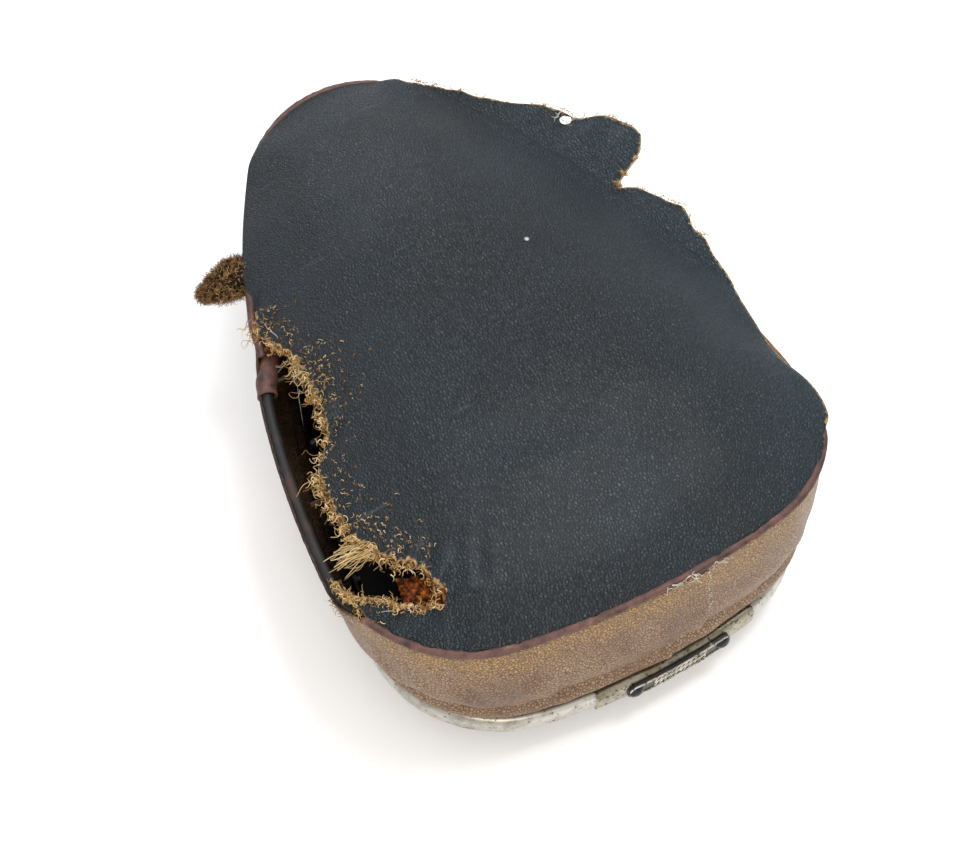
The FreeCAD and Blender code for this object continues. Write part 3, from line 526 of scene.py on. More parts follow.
bare = bump(ALONG, -120, 36, 14) * ~ON_RIGHT
edge_offset = -EDGE_INSET + (EDGE_INSET - BARE_INSET) * bare + SWAY * bump(ALONG, -125, 45, 16)
edge_path = np.c_[TOP_LINE + TOP_OUT * edge_offset[:, None], EDGE_Z + BARE_LIFT * bare]
edge_band = mesh_piece("edge_band", *tube(edge_path[None, ::2], BAND_RADIUS, 14, closed=True))
face_out(edge_band)

# Japanned steel: black, half matt, with rust-brown grime.
black_band = mottled("japanned_steel", 40.0, 6.0,
                     [(0.38, "#070506"), (0.52, "#120d0d"), (0.64, "#33211a")],
                     gloss=(0.5, 0.8), Specular_IOR_Level=0.5)
edge_band.data.materials.append(black_band)
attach(edge_band, "cushion")
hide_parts("edge_wire")

# --- Springs and the wires that tie them --------------------------------------------------
# Nine coil springs of drawn wire stand on the pan. They squeeze between pan and top. Their
# steel has gone brown with age.
COIL_RADIUS, WIRE_RADIUS, COIL_TURNS, STEPS_A_TURN = 24.0, 1.6, 6, 24
spring_wire = mottled("aged_spring_wire", 90.0, 6.0,
                      [(0.35, "#5a5650"), (0.5, "#4b372a"), (0.68, "#6d4526")],
                      gloss=(0.35, 0.8), pits=(0.4, 0.2), grain=0.65, Metallic=0.7,
                      Specular_IOR_Level=0.5)
rise = np.linspace(0, 1, STEPS_A_TURN * COIL_TURNS)
# the end turns lie flat, as ground spring ends do
lift = np.clip((rise - 1 / COIL_TURNS) / (1 - 2 / COIL_TURNS), 0, 1)
for number in range(1, 10):
    low, high_corner = box_mm(f"spring_{number}")
    centre = (low + high_corner) / 2
    coil = np.c_[centre[0] + COIL_RADIUS * np.cos(rise * TURN * COIL_TURNS),
                 centre[1] + COIL_RADIUS * np.sin(rise * TURN * COIL_TURNS),
                 low[2] + WIRE_RADIUS + lift * (high_corner[2] - low[2] - 2 * WIRE_RADIUS)]
    spring = mesh_piece(f"coil_spring_{number}", *tube(coil[None], WIRE_RADIUS, 8))
    face_out(spring)
    spring.data.materials.append(spring_wire)
    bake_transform(spring)
    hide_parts(f"spring_{number}")


def finish_node(name, material):
    """Gives a CAD node one material in place of its packed ones."""
    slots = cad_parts[name].data.materials
    slots.clear()
    slots.append(material)


for name in ("cross_wires", "long_wires"):
    finish_node(name, spring_wire)

# --- The tear in the cover ----------------------------------------------------------------
# On the left the top leather has worn through from the seam inwards. The border of what is
# left is known by points, from the front of the tear to its pointed rear end, and from
# there back to the outline round a strip that still holds at the corner.
TEAR_INNER = np.array([(-103, 66), (-106, 59), (-105, 48), (-101, 37), (-96, 22), (-97, 3),
                       (-99, -12), (-101, -26), (-110, -37), (-117, -44), (-119, -62),
                       (-119, -76), (-117, -88), (-113, -97), (-104, -108), (-97, -119),
                       (-92, -135)], float)
TEAR_OUTER = np.array([(-136, -100), (-132, -111), (-123, -120), (-114, -128), (-104, -135),
                       (-95, -139)], float)
COVER_INSET, CROWN_RISE, CROWN_POWER = 3.4, 23.0, 2.6
INNER_RING, OUTER_RING = 0.84, 0.93


def turn_of(points):
    """Angle of points about the middle of the top, from 0 at the rear, growing leftwards."""
    way = points - MIDDLE
    return np.arctan2(-way[:, 0], -way[:, 1])


def reach_share(points):
    """Distance from the middle as a share of the outline's distance in that direction."""
    turn_at, far = turn_of(TOP_LINE), np.linalg.norm(TOP_LINE - MIDDLE, axis=1)
    order = np.argsort(turn_at)
    return np.linalg.norm(points - MIDDLE, axis=1) / np.interp(
        turn_of(points), turn_at[order], far[order], period=TURN)


turn_at = turn_of(TOP_LINE)
inner_turn, outer_turn = turn_of(TEAR_INNER), turn_of(TEAR_OUTER)
TEAR_FRONT, TEAR_TIP, TEAR_CORNER = inner_turn[0], inner_turn[-1], outer_turn[0]
order = np.argsort(inner_turn)
inner_share = np.interp(turn_at, inner_turn[order], reach_share(TEAR_INNER)[order])
order = np.argsort(outer_turn)
outer_share = np.interp(turn_at, outer_turn[order], reach_share(TEAR_OUTER)[order])
tip_share = reach_share(TEAR_INNER)[-1]
torn = (turn_at > TEAR_TIP) & (turn_at < TEAR_FRONT)
hole = torn & (turn_at < TEAR_CORNER)
shred = 0.011 * rim_ripple(7, 11) + 0.006 * rim_ripple(3, 12)
past_front = soft_step(turn_at, TEAR_FRONT, TEAR_FRONT + 0.35)
before_tip = soft_step(TEAR_TIP - turn_at, 0, 0.3)
after_tear = turn_at > TEAR_FRONT
break_in = np.where(torn, np.clip(inner_share + shred, 0, 0.995),
                    np.where(after_tear, between(0.97, INNER_RING, past_front),
                             between(tip_share, INNER_RING, before_tip)))
break_out = np.where(hole, outer_share - 0.6 * shred, np.where(torn, 0.998, np.where(
    after_tear, between(0.998, OUTER_RING, past_front),
    between(tip_share + 0.004, OUTER_RING, before_tip))))
break_out = np.minimum(np.maximum(break_out, break_in + 0.002), 0.999)
past_tear = (soft_step(turn_at, TEAR_TIP - 0.2, TEAR_TIP)
             * (1 - soft_step(turn_at, TEAR_FRONT, TEAR_FRONT + 0.2)))


def push_out(points, distance):
    """Moves rows of points outwards in plan, each by its own distance."""
    points[..., :2] += distance[..., None] * TOP_OUT[None]


def crown(share):
    """Height of the leather over the seam at a share of the way out."""
    return CROWN_RISE * (1 - np.clip(share, 0, 1)**CROWN_POWER)


def dome(shares, drop=0.0):
    """Points of the crowned form, lowered by drop: rows by share of the way out, columns round."""
    flat = MIDDLE + (TOP_LINE - MIDDLE)[None] * shares[..., None]
    return np.dstack([flat, SEAM_Z + crown(shares) - drop])


# --- Hair pad, cotton wadding and hessian -------------------------------------------------
# A pad of curled hair and coir lies on a hessian cloth over the springs, under a layer of
# cotton. Where the leather is gone all three are eaten back and felted brown.
PAD_EDGE, PAD_DROP, PAD_RINGS, PAD_SIDE, PAD_ROUGH, PAD_FOOT = 0.93, 6.0, 26, 9, 1.2, 0.012
COTTON_EDGE, COTTON_TOP, COTTON_LOW = 0.955, 2.3, 5.7
HESSIAN_EDGE = 0.90


def evened(values, count):
    """Mean of each value and its neighbours round the outline, count in all."""
    half = count // 2
    return np.convolve(np.r_[values[-half:], values, values[:half]], np.ones(count) / count,
                       "valid")


def closed_pad(name, skin, high, low):
    """Closed mesh of rings that run out over a top and back below, with a point at each end."""
    count = len(skin)
    points = np.vstack([skin.reshape(-1, 3), [[*MIDDLE, high]], [[*MIDDLE, low]]])
    piece = mesh_piece(name, points, [
        grid_faces(count, ROUND, close_columns=True), fan(count * ROUND, 0, ROUND),
        fan(count * ROUND + 1, (count - 1) * ROUND, ROUND)])
    face_out(piece)
    return piece


pad_bottom = box_mm("hair_pad")[0][2]
pad_edge = evened(np.where(torn, break_in - 0.035 - 0.02 * np.abs(rim_ripple(16, 21)),
                           PAD_EDGE), 13)
out = np.linspace(0.0, 1, PAD_RINGS)[1:, None]**0.8
pad_top = dome(out * pad_edge[None], drop=PAD_DROP)
side = np.linspace(0, 1, PAD_SIDE)[1:, None]
side_share = pad_edge[None] + PAD_FOOT * side + 0.01 * np.sin(np.pi * side)
walls = dome(np.clip(side_share, 0, 0.97), drop=PAD_DROP)
walls[..., 2] = pad_top[-1][None, :, 2] * (1 - side) + pad_bottom * side
under = dome(out[::-1] * side_share[-1][None])
under[..., 2] = pad_bottom
pad_skin = np.concatenate([pad_top, walls, under[1:]])
uneven = PAD_ROUGH * ripple(pad_skin[..., 0] + 2 * pad_skin[..., 2], pad_skin[..., 1], 8, 31)
past_middle = (np.arange(len(pad_skin)) > PAD_RINGS // 2)[:, None]
push_out(pad_skin, uneven * past_middle)
hair_pad = closed_pad("hair_pad_fill", pad_skin, SEAM_Z + CROWN_RISE - PAD_DROP, pad_bottom)
# Matted hair and coir: dark and dull, with tan ends that catch the light.
hair = mottled("curled_hair_and_coir", 210.0, 8.0,
               [(0.42, "#080605"), (0.58, "#1a110a"), (0.68, "#5c3d1f"), (0.78, "#a07440")],
               pits=(1.0, 1.5), grain=0.75, twist=2.5, Roughness=0.95, Specular_IOR_Level=0.15)
hair_pad.data.materials.append(hair)
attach(hair_pad, "cushion")
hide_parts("hair_pad")

cotton_edge = evened(np.where(torn, break_in - 0.012 + 0.012 * rim_ripple(11, 22),
                              COTTON_EDGE), 5)
out = np.linspace(0, 1, 30)[1:, None]**0.8
cotton = closed_pad("cotton_layer", np.concatenate([
    dome(out * cotton_edge[None], drop=COTTON_TOP),
    dome(out[::-1] * cotton_edge[None] - 0.004, drop=COTTON_LOW)]),
                    SEAM_Z + CROWN_RISE - COTTON_TOP, SEAM_Z + CROWN_RISE - COTTON_LOW)
# Old cotton felt: a matt, fluffy brown.
felt = mottled("old_cotton_felt", 150.0, 8.0,
               [(0.35, "#4b3119"), (0.5, "#8d5f2f"), (0.66, "#b98b50")],
               pits=(1.0, 1.0), grain=0.7, twist=1.0, Roughness=0.95, Specular_IOR_Level=0.15)
cotton.data.materials.append(felt)
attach(cotton, "cushion")
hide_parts("wadding")

hessian_z = centre_mm("hessian")[2]
hessian_edge = evened(np.where(torn, break_in - 0.13 + 0.02 * rim_ripple(10, 23),
                               HESSIAN_EDGE), 7)
out = np.linspace(0.02, 1, 26)[:, None]
net = dome(out * hessian_edge[None])
net[..., 2] = hessian_z + 0.3 * ripple(net[..., 0], net[..., 1], 30, 24)
hessian = mesh_piece("hessian_cloth", np.vstack([net.reshape(-1, 3), [[*MIDDLE, hessian_z]]]), [
    grid_faces(len(out), ROUND, close_columns=True),
    fan(len(out) * ROUND, 0, ROUND)[:, ::-1]])
# Woven jute: a coarse, dull brown cloth.
jute, tree, shader = start_material("woven_jute_hessian", Roughness=0.9, Specular_IOR_Level=0.2)
place = add_node(tree, "TexCoord").outputs["Object"]
# a band of the wave repeats every tau / 20 / scale: yarns lie about 3.2 mm apart each way
warp = add_node(tree, "TexWave", {"Vector": place, "Scale": 98.0, "Distortion": 1.5},
                bands_direction="X")
weft = add_node(tree, "TexWave", {"Vector": place, "Scale": 98.0, "Distortion": 1.5},
                bands_direction="Y")
weave = add_node(tree, "Math", {0: warp.outputs["Fac"], 1: weft.outputs["Fac"]},
                 operation="MAXIMUM")
tone = add_node(tree, "ValToRGB", {"Fac": weave.outputs[0]},
                stops=[(0.4, "#2e2014"), (0.9, "#8d6d42")])
tree.links.new(tone.outputs["Color"], shader.inputs["Base Color"])
cloth_bump = add_node(tree, "Bump", {"Height": weave.outputs[0], "Strength": 0.8,
                                     "Distance": 0.4 * MM})
tree.links.new(cloth_bump.outputs["Normal"], shader.inputs["Normal"])
hessian.data.materials.append(jute)
thicken(hessian, 0.9)
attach(hessian, "cushion")
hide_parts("hessian")

# --- Leather cover ------------------------------------------------------------------------
# A sheet of thick, blue-black, pebble-grained hide was stretched over the padding and sewn
# in at the piping. It is torn open on the left, and on the right its border has come loose
# and stands out past the piping in dry, curled flaps.
FLAP_LINE = np.array([(-182, 0), (-150, 1), (-137, 0), (-114, -2), (-98, -4), (-84, -4),
                      (-70, -2), (-51, -1), (-35, 3), (-24, 5), (-6, 12), (12, 16), (22, 14),
                      (35, 10), (42, 3), (45, 4), (48, 27), (54, 36), (62, 38), (70, 36),
                      (79, 31), (88, 26), (96, 25), (106, 24), (114, 19), (125, 11), (145, 6),
                      (170, -2), (176, 0), (192, 0)], float)
FLAP_RINGS, HOLE_PLACE, HOLE_RADIUS = 12, np.array([110.0, 100.0]), 3.6
COVER_GAUGE, COVER_LIFT, HALF_WIDTH, FAR = 1.4, 1.4, 130.0, 99.0
flap = np.where(ON_RIGHT, np.interp(ALONG, FLAP_LINE[:, 0], FLAP_LINE[:, 1]), 0.0)
flap = flap + np.where(flap > 4, 0.9 * ripple(ALONG, 0 * ALONG, 17, 41), 0.0)
free = ON_RIGHT * bump(ALONG, -140, 178, 6)
rings_in = np.linspace(0, 1, 40)[1:, None]**0.85 * break_in[None]
rings_mid = break_in[None] + (break_out - break_in)[None] * np.linspace(0, 1, 9)[1:, None]
rings_out = break_out[None] + (1 - break_out)[None] * np.linspace(0, 1, 11)[1:, None]
shares = np.concatenate([rings_in, rings_mid, rings_out])
hide_top = dome(shares)
over_piping = bump(ALONG, 40, 165, 14) * ~ON_RIGHT
inset = COVER_INSET * shares**6 * ((1 - free) * (1 - 0.75 * over_piping))[None]
push_out(hide_top, SWAY[None] * shares**8 * (1 - past_tear)[None] - inset)
# the sewn border rolls down to the seam; the free one lifts a little over the piping
hide_top[..., 2] += COVER_LIFT + 2.2 * free[None] * soft_step(shares, 0.9, 1.0)
wave = ripple(hide_top[..., 0], hide_top[..., 1], 70, 42)
crumple = ripple(hide_top[..., 0] - 0.5 * hide_top[..., 1], hide_top[..., 1], 21, 43)
near_tear = soft_step(shares, break_in[None] - 0.20, break_in[None]) * past_tear[None]
hide_top[..., 2] += 0.7 * wave * soft_step(shares, 0.2, 0.6) + 1.5 * crumple * near_tear
# the torn border curls up, then hangs
hide_top[..., 2] += (1.8 * np.exp(-((shares - break_in[None]) / 0.03)**2)
                     * (shares <= break_in[None] + 1e-9) * past_tear[None]
                     * (0.4 + 0.6 * rim_ripple(19, 44)))
ring_count = len(shares)
flap_rise = np.linspace(0, 1, FLAP_RINGS + 1)[1:, None]
push = np.maximum(flap, 0)[None] * flap_rise
tuck = np.minimum(flap, 0)[None] * soft_step(shares, 0.9, 1)
push_out(hide_top, tuck)
skin_edge = np.repeat(hide_top[-1:], FLAP_RINGS, axis=0)
push_out(skin_edge, push)
curl = ripple(ALONG, 0 * ALONG, 38, 45)
skin_edge[..., 2] += (0.16 * push + (2.4 * curl[None] * flap_rise**1.5 - 0.9 * flap_rise)
                      * soft_step(np.abs(flap), 3, 12)[None])
cover_net = np.concatenate([hide_top, skin_edge])
# a round hole in the flap, with its border on a circle
way = cover_net[..., :2] - HOLE_PLACE
gap = np.linalg.norm(way, axis=-1)
inside = gap < HOLE_RADIUS * 1.02
cover_net[inside, :2] = HOLE_PLACE + (way / np.maximum(gap, 1e-6)[..., None]
                                      * HOLE_RADIUS)[inside]
count = len(cover_net)
faces = grid_faces(count, ROUND, close_columns=True)
ring_of, column_of = faces[:, 0] // ROUND, faces[:, 0] % ROUND
inner_end, middle_end = len(rings_in) - 1, len(rings_in) + len(rings_mid) - 1
next_column = (column_of + 1) % ROUND
torn_face, hole_face = torn[column_of] & torn[next_column], hole[column_of]
lost = torn_face & (ring_of >= inner_end) & ((ring_of < middle_end) | ~hole_face)
flap_face = (ring_of >= ring_count - 1) & (np.minimum(flap[column_of], flap[next_column]) < 0.6)
in_hole = inside.reshape(-1)[faces].all(axis=1)
faces = faces[~(lost | flap_face | in_hole)]
centre_point = np.array([[*MIDDLE, SEAM_Z + CROWN_RISE + COVER_LIFT]])
cover = mesh_piece("leather_cover", np.vstack([cover_net.reshape(-1, 3), centre_point]),
                   [faces, fan(count * ROUND, 0, ROUND)[:, ::-1]])
torn_gap = HALF_WIDTH * np.minimum(np.where(torn[None], np.abs(shares - break_in[None]), 1.0),
                                   np.where(hole[None], np.abs(shares - break_out[None]), 1.0))
edge_gap = np.where(free[None] > 0.5, (1 - shares) * HALF_WIDTH + np.maximum(flap, 0)[None],
                    FAR)
fray = np.vstack([np.exp(-np.minimum(torn_gap, edge_gap) / 2.2),
                  np.exp(-(np.maximum(flap, 0)[None] * (1 - flap_rise)) / 1.8)
                  * (free > 0.5)[None]])
point_value(cover, "fray", np.r_[fray.ravel(), 0.0])
loose = bmesh.new()
loose.from_mesh(cover.data)
bmesh.ops.recalc_face_normals(loose, faces=loose.faces)
bmesh.ops.delete(loose, geom=[point for point in loose.verts if not point.link_faces],
                 context="VERTS")
loose.to_mesh(cover.data)
loose.free()
thicken(cover, COVER_GAUGE)

# Chrome-tanned cowhide with a pebbled print, dyed blue-black: softly glossy between dark
# joints, faded to teal on the right, with pale fibres along its torn and free edges and painted
# glints.
cover_hide, tree, shader = start_material("blue_black_pebbled_hide", Specular_IOR_Level=0.36,
                                          Coat_Weight=0.06, Coat_Roughness=0.25)
normal, height, place = grain_bump(tree, 1.5, 0.72, 0.42, 1.6)
stain = add_node(tree, "TexNoise", {"Vector": place, "Scale": 14.0, "Detail": 5.0,
                                    "Roughness": 0.6})
body_tone = add_node(tree, "ValToRGB", {"Fac": stain.outputs["Fac"]},
                     stops=[(0.3, "#0a1319"), (0.5, "#0f1a22"), (0.72, "#172831")])
across = add_node(tree, "SeparateXYZ", {"Vector": place})
teal = add_node(tree, "MapRange", {"Value": across.outputs["X"], "From Min": 0.05,
                                   "From Max": 0.14, "To Max": 0.7})
tinted = laid_over(tree, body_tone.outputs["Color"], (teal.outputs[0], "#12323d"))
grained = laid_over(tree, "#06090b", (height, tinted))
# painted glints: thin grey lines along one slant, where stretched noise is high, stand for light
# caught by the grain
glint_slant = add_node(tree, "Mapping", {"Vector": place, "Rotation": (0.0, 0.0, 0.9),
                                  "Scale": (14.0, 120.0, 14.0)})
glint_noise = add_node(tree, "TexNoise", {"Vector": glint_slant.outputs[0], "Scale": 1.0, "Detail": 2.0})
glint_streaks = add_node(tree, "ValToRGB", {"Fac": glint_noise.outputs["Fac"]},
                   stops=[(0.70, (0, 0, 0, 1)), (0.74, (0.5, 0.5, 0.5, 1))])
# the grey of the painted glint lines comes first, then the real marks
layers = [(glint_streaks.outputs["Color"], "#3a444c")]
# one rust spot at the left rear, and a fleck of white paint
for where, radius, colour in (((-0.069, -0.137, 0.113), 0.0045, "#8a4b22"),
                              ((0.041, 0.024, 0.129), 0.0018, "#d9dcd8")):
    away = add_node(tree, "VectorMath", {0: place, 1: where}, operation="DISTANCE")
    near = add_node(tree, "MapRange", {"Value": away.outputs["Value"], "From Min": radius,
                                       "From Max": radius * 0.5, "To Max": 0.8})
    layers.append((near.outputs[0], colour))
frayed = patchy(tree, place, stored(tree, "fray"), 420.0, 5.0, 0.5, 0.3, 0.48)
finished = laid_over(tree, grained, *layers, (frayed, "#a98658"))
tree.links.new(finished, shader.inputs["Base Color"])
tree.links.new(normal, shader.inputs["Normal"])
rough = add_node(tree, "MapRange", {"Value": stain.outputs["Fac"], "To Min": 0.34,
                                    "To Max": 0.52})
tree.links.new(rough.outputs[0], shader.inputs["Roughness"])
cover.data.materials.append(cover_hide)
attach(cover, "cushion")
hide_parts("top_cover")

# --- Piping -------------------------------------------------------------------------------
# A folded strip of red-brown leather is sewn in between cover and skirt, with two ridges
# where it is stitched. On the torn side it has gone; at the rear it is cracked and worn.
WELT_SHARE = 0.80
piping_gone = (turn_at > 0.80) & (turn_at < 1.86)
count = int((~piping_gone).sum())
walk = (int(np.nonzero(~piping_gone & np.roll(piping_gone, 1))[0][0])
        + np.arange(count)) % ROUND
worn = WELT_SHARE - 0.10 * np.abs(ripple(TOP_LINE[walk, 0], ALONG[walk], 12, 51))
for crack, depth in ((-73, 0.22), (-33, 0.25), (14, 0.15), (36, 0.3), (58, 0.25)):
    worn = worn - depth * np.exp(-((TOP_LINE[walk, 0] - crack) / 1.6)**2) * (ALONG[walk] < -140)
line = (TOP_LINE + TOP_OUT * (SWAY * 0.9 - PIPING_R - 1.5 * free - 0.8 * over_piping)[:, None])[walk]
piping = mesh_piece("piping_welt", *tube(np.c_[line, np.full(count, SEAM_Z - 0.3)][None],
                                         PIPING_R * worn[None], 18, lobes=0.10))
face_out(piping)
# Red-brown welt leather: mottled, half matt and cracked.
welt = mottled("red_brown_welt_leather", 95.0, 7.0,
               [(0.34, "#241613"), (0.47, "#4a2f29"), (0.6, "#5f4036"), (0.76, "#967564")],
               gloss=(0.42, 0.7), pits=(0.8, 0.6), grain=0.7, Specular_IOR_Level=0.4)
piping.data.materials.append(welt)
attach(piping, "cushion")
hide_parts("piping")

# --- Folded patch on the torn side --------------------------------------------------------
# A scrap of the skirt's tan hide still wraps the bare edge band near the front of the tear.
PATCH_REAR, PATCH_FRONT, PATCH_RADIUS, PATCH_GAUGE = 16, 53, 4.4, 1.2
patch_columns = np.nonzero(~ON_RIGHT & (ALONG > PATCH_REAR) & (ALONG < PATCH_FRONT))[0]
around = np.linspace(-2.3, 2.2, 16)[:, None]
shape = 1 + 0.10 * ripple(ALONG[patch_columns], 0, 18, 61)[None]
patch_r = (PATCH_RADIUS + 1.2 * np.exp(-((around - 1.6) / 0.8)**2)) * shape
base_line = edge_path[patch_columns]
patch = np.dstack([
    base_line[None, :, :2] - (patch_r * np.sin(around))[..., None] * TOP_OUT[patch_columns][None],
    base_line[None, :, 2] + patch_r * np.cos(around)])
patch_piece = mesh_piece("folded_hide_patch", patch, [grid_faces(len(around), len(patch_columns))])
face_out(patch_piece)
thicken(patch_piece, PATCH_GAUGE, offset=0.0)
patch_piece.data.materials.append(welt)
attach(patch_piece, "cushion")

# --- Torn fibres, threads and felt --------------------------------------------------------
# The worn border sheds what it held: curled coir and hair, cotton felt, sewing thread and
# straw. They cling along the tear and hang over the open springs.
draw = np.random.default_rng(71)


def drawn(value, count):
    """Random numbers between the two of a pair; any other value serves all, or is a row."""
    if isinstance(value, tuple):
        return draw.uniform(*value, count)
    return np.broadcast_to(value, count)


def fibres(name, material, slot, roots, ways, *shape, stations=11, sides=3):
    """Piece of curled strands as thin tubes, with a random number each to vary the colour.

    Each starts at its root and heads along its way. shape is five numbers, rows or pairs
    (see drawn): length, the radius and the count of the turns that it winds about its way,
    the droop of its end, and the radius of the strand, which tapers.
    """
    count = len(roots)
    lengths, coil, turns, droop, width = [drawn(value, count)[:, None] for value in shape]
    run = np.linspace(0, 1, stations)[None, :, None]
    ways = ways / np.linalg.norm(ways, axis=1, keepdims=True)
    aside = np.cross(ways, [0.0, 0.0, 1.0])
    aside = aside / np.maximum(np.linalg.norm(aside, axis=1, keepdims=True), 1e-6)
    over = np.cross(aside, ways)
    phase = draw.uniform(0, TURN, (count, 1, 1))
    wind = phase + turns[..., None] * TURN * run
    swirl = coil[..., None] * np.sqrt(run)
    paths = (roots[:, None] + ways[:, None] * lengths[..., None] * run
             + swirl * ((np.cos(wind) - np.cos(phase)) * aside[:, None]
                        + (np.sin(wind) - np.sin(phase)) * over[:, None]))
    paths[..., 2] -= droop * run[..., 0]**2
    piece = mesh_piece(name, *tube(paths, width * (1 - 0.55 * run[..., 0]), sides))
    shade = draw.uniform(0, 1, count)
    point_value(piece, "tone", np.r_[np.repeat(shade, stations * sides), np.repeat(shade, 2)])
    piece.data.materials.append(material)
    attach(piece, "cushion")


def fibre_material(name, colours, roughness):
    """Fibre finish: each strand takes its place in a row of colours from its own number."""
    made, tree, shader = start_material(name, Roughness=roughness, Specular_IOR_Level=0.25)
    places = np.linspace(0, 1, len(colours))
    ramp = add_node(tree, "ValToRGB", {"Fac": stored(tree, "tone")},
                    stops=[(place, colour) for place, colour in zip(places, colours)])
    tree.links.new(ramp.outputs["Color"], shader.inputs["Base Color"])
    return made


# Coir and hair are dull, straw and waxed linen thread a little smoother.
coir = fibre_material("golden_coir", ("#6a4c2b", "#9a7542", "#b8935a", "#cfb07c", "#dfcaa0"), 0.7)
straw = fibre_material("dry_straw", ("#a98a52", "#c9ae7a", "#ddc99c"), 0.6)
dark_hair = fibre_material("brown_hair", ("#2a190e", "#4a2f1a", "#70502d", "#94703f", "#bd9c6c"),
                           0.8)
white_thread = fibre_material("waxed_linen_thread", ("#7d7566", "#a39c8c", "#c9c5b8"), 0.6)


def along_tear(share_of, low_turn, high_turn, count, spread):
    """Random places along a border of the tear: points in plan, outward ways, height."""
    turn = draw.uniform(low_turn, high_turn, count)
    order = np.argsort(turn_at)
    out_x = np.interp(turn, turn_at[order], TOP_LINE[order, 0])
    out_y = np.interp(turn, turn_at[order], TOP_LINE[order, 1])
    share = np.interp(turn, turn_at[order], share_of[order]) + draw.normal(0, spread, count)
    place = MIDDLE + (np.c_[out_x, out_y] - MIDDLE) * share[:, None]
    way = np.c_[out_x, out_y] - MIDDLE
    return place, way / np.linalg.norm(way, axis=1, keepdims=True), crown(share)


# clumps sit along the border in bunches, with bare dark stretches between them
count = 1500
place, way, rise = along_tear(break_in, TEAR_TIP + 0.02, TEAR_FRONT - 0.02, count, 0.007)
bunch = ripple(place[:, 0], place[:, 1], 9, 72) + draw.normal(0, 0.25, count)
kept = bunch > -0.05
place, way, rise, count = place[kept], way[kept], rise[kept], int(kept.sum())
roots = np.c_[place - way * 1.0, SEAM_Z + rise + draw.uniform(-1.6, 1.8, count)]
ways = np.c_[way * 0.6, draw.uniform(-0.5, 0.4, count)] + draw.normal(0, 0.7, (count, 3)) * [1, 1, 0.4]
fibres("coir_curls", coir, "coir_pad", roots, ways, draw.gamma(2.4, 1.5, count), (0.7, 2.0),
       (0.6, 2.2), (0, 2), (0.18, 0.4), stations=14)

# lint and short ends cling to the leather near the tear
count = 380
place, way, rise = along_tear(break_in - 0.03, TEAR_TIP + 0.05, TEAR_FRONT, count, 0.0)
back = draw.gamma(1.3, 5.0, count)
place = place - way * back[:, None]
roots = np.c_[place, SEAM_Z + crown(reach_share(place)) + 1.5]
fibres("lint", coir, "coir_pad", roots, draw.normal(0, 1, (count, 3)) * [1, 1, 0.1], (0.6, 2.6),
       (0.3, 0.9), (0.5, 1.5), 0.0, (0.12, 0.26))

# the rear of the tear is a pointed hole, fringed on its outer side
count = 420
place, way, rise = along_tear(break_out, TEAR_TIP + 0.02, TEAR_CORNER, count, 0.004)
roots = np.c_[place, SEAM_Z + rise + draw.uniform(-1.0, 1.8, count)]
ways = np.c_[-way * 0.7, draw.uniform(-0.3, 0.5, count)] + draw.normal(0, 0.6, (count, 3))
fibres("coir_fringe", coir, "coir_pad", roots, ways, draw.gamma(2.0, 1.2, count), (0.5, 1.6),
       (0.5, 1.6), (0, 1.5), (0.16, 0.34))

# straw-coloured yarns bridge the gap just before the hole
count = 60
roots = np.c_[draw.uniform(-114, -106, count), draw.uniform(-98, -90, count),
              SEAM_Z + draw.uniform(4.0, 9.0, count)]
ways = np.c_[np.full(count, -1.0), draw.normal(0.25, 0.16, count), draw.normal(-0.2, 0.10, count)]
fibres("straw_bundle", straw, "coir_pad", roots, ways, (8, 22), (0.8, 2.4), (0.3, 1.0), (0, 3),
       (0.3, 0.55), stations=14)

# rust-orange felt lies crumpled in the point of the hole
FELT_ROWS, FELT_COLUMNS = 60, 40
felt_u, felt_v = np.meshgrid(np.linspace(-1, 1, FELT_ROWS), np.linspace(-1, 1, FELT_COLUMNS),
                             indexing="ij")
felt_x = -97.5 + 11.5 * felt_u + 2.0 * felt_v
felt_y = -126 - 6.0 * felt_u + 9.0 * felt_v
felt_z = (SEAM_Z + 1.4 + 1.7 * ripple(felt_x, felt_y, 9, 73) + 0.8 * ripple(felt_x, felt_y, 3, 74)
          + 1.5 * felt_u - 1.5 * felt_v**2)
rust_felt = mesh_piece("crumpled_felt", np.dstack([felt_x, felt_y, felt_z]),
                       [grid_faces(FELT_ROWS, FELT_COLUMNS)])
face_out(rust_felt)
thicken(rust_felt, 1.0)
# Old felt soaked in rust: matt orange to brown.
orange = mottled("rust_orange_felt", 330.0, 6.0,
                 [(0.38, "#331a0c"), (0.54, "#6f3a18"), (0.7, "#b5662b")], pits=(0.8, 0.6),
                 Roughness=0.95, Specular_IOR_Level=0.1)
rust_felt.data.materials.append(orange)
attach(rust_felt, "cushion")

# a felted lump of hair stands out through the gap at the front of the tear, shaped like
# an ear: its core is solid and dark, and short lighter hair stands off its rim
EAR_PLACE, EAR_HALF = np.array([-103.5, 94.0, 101.5]), (16.0, 15.0, 6.0)
EAR_RINGS, EAR_SIDES = 23, 32
along_ear, across_ear = np.array([-0.97, 0.05, -0.22]), np.array([0.05, 1.0, 0.0])
over_ear = np.cross(along_ear, across_ear)
ear_u, ear_v = np.meshgrid(np.linspace(0, np.pi, EAR_RINGS + 2)[1:-1],
                           np.arange(EAR_SIDES) / EAR_SIDES * TURN, indexing="ij")
swell_ear = 1 + 0.10 * ripple(20 * ear_u, 9 * np.cos(ear_v), 12, 75)


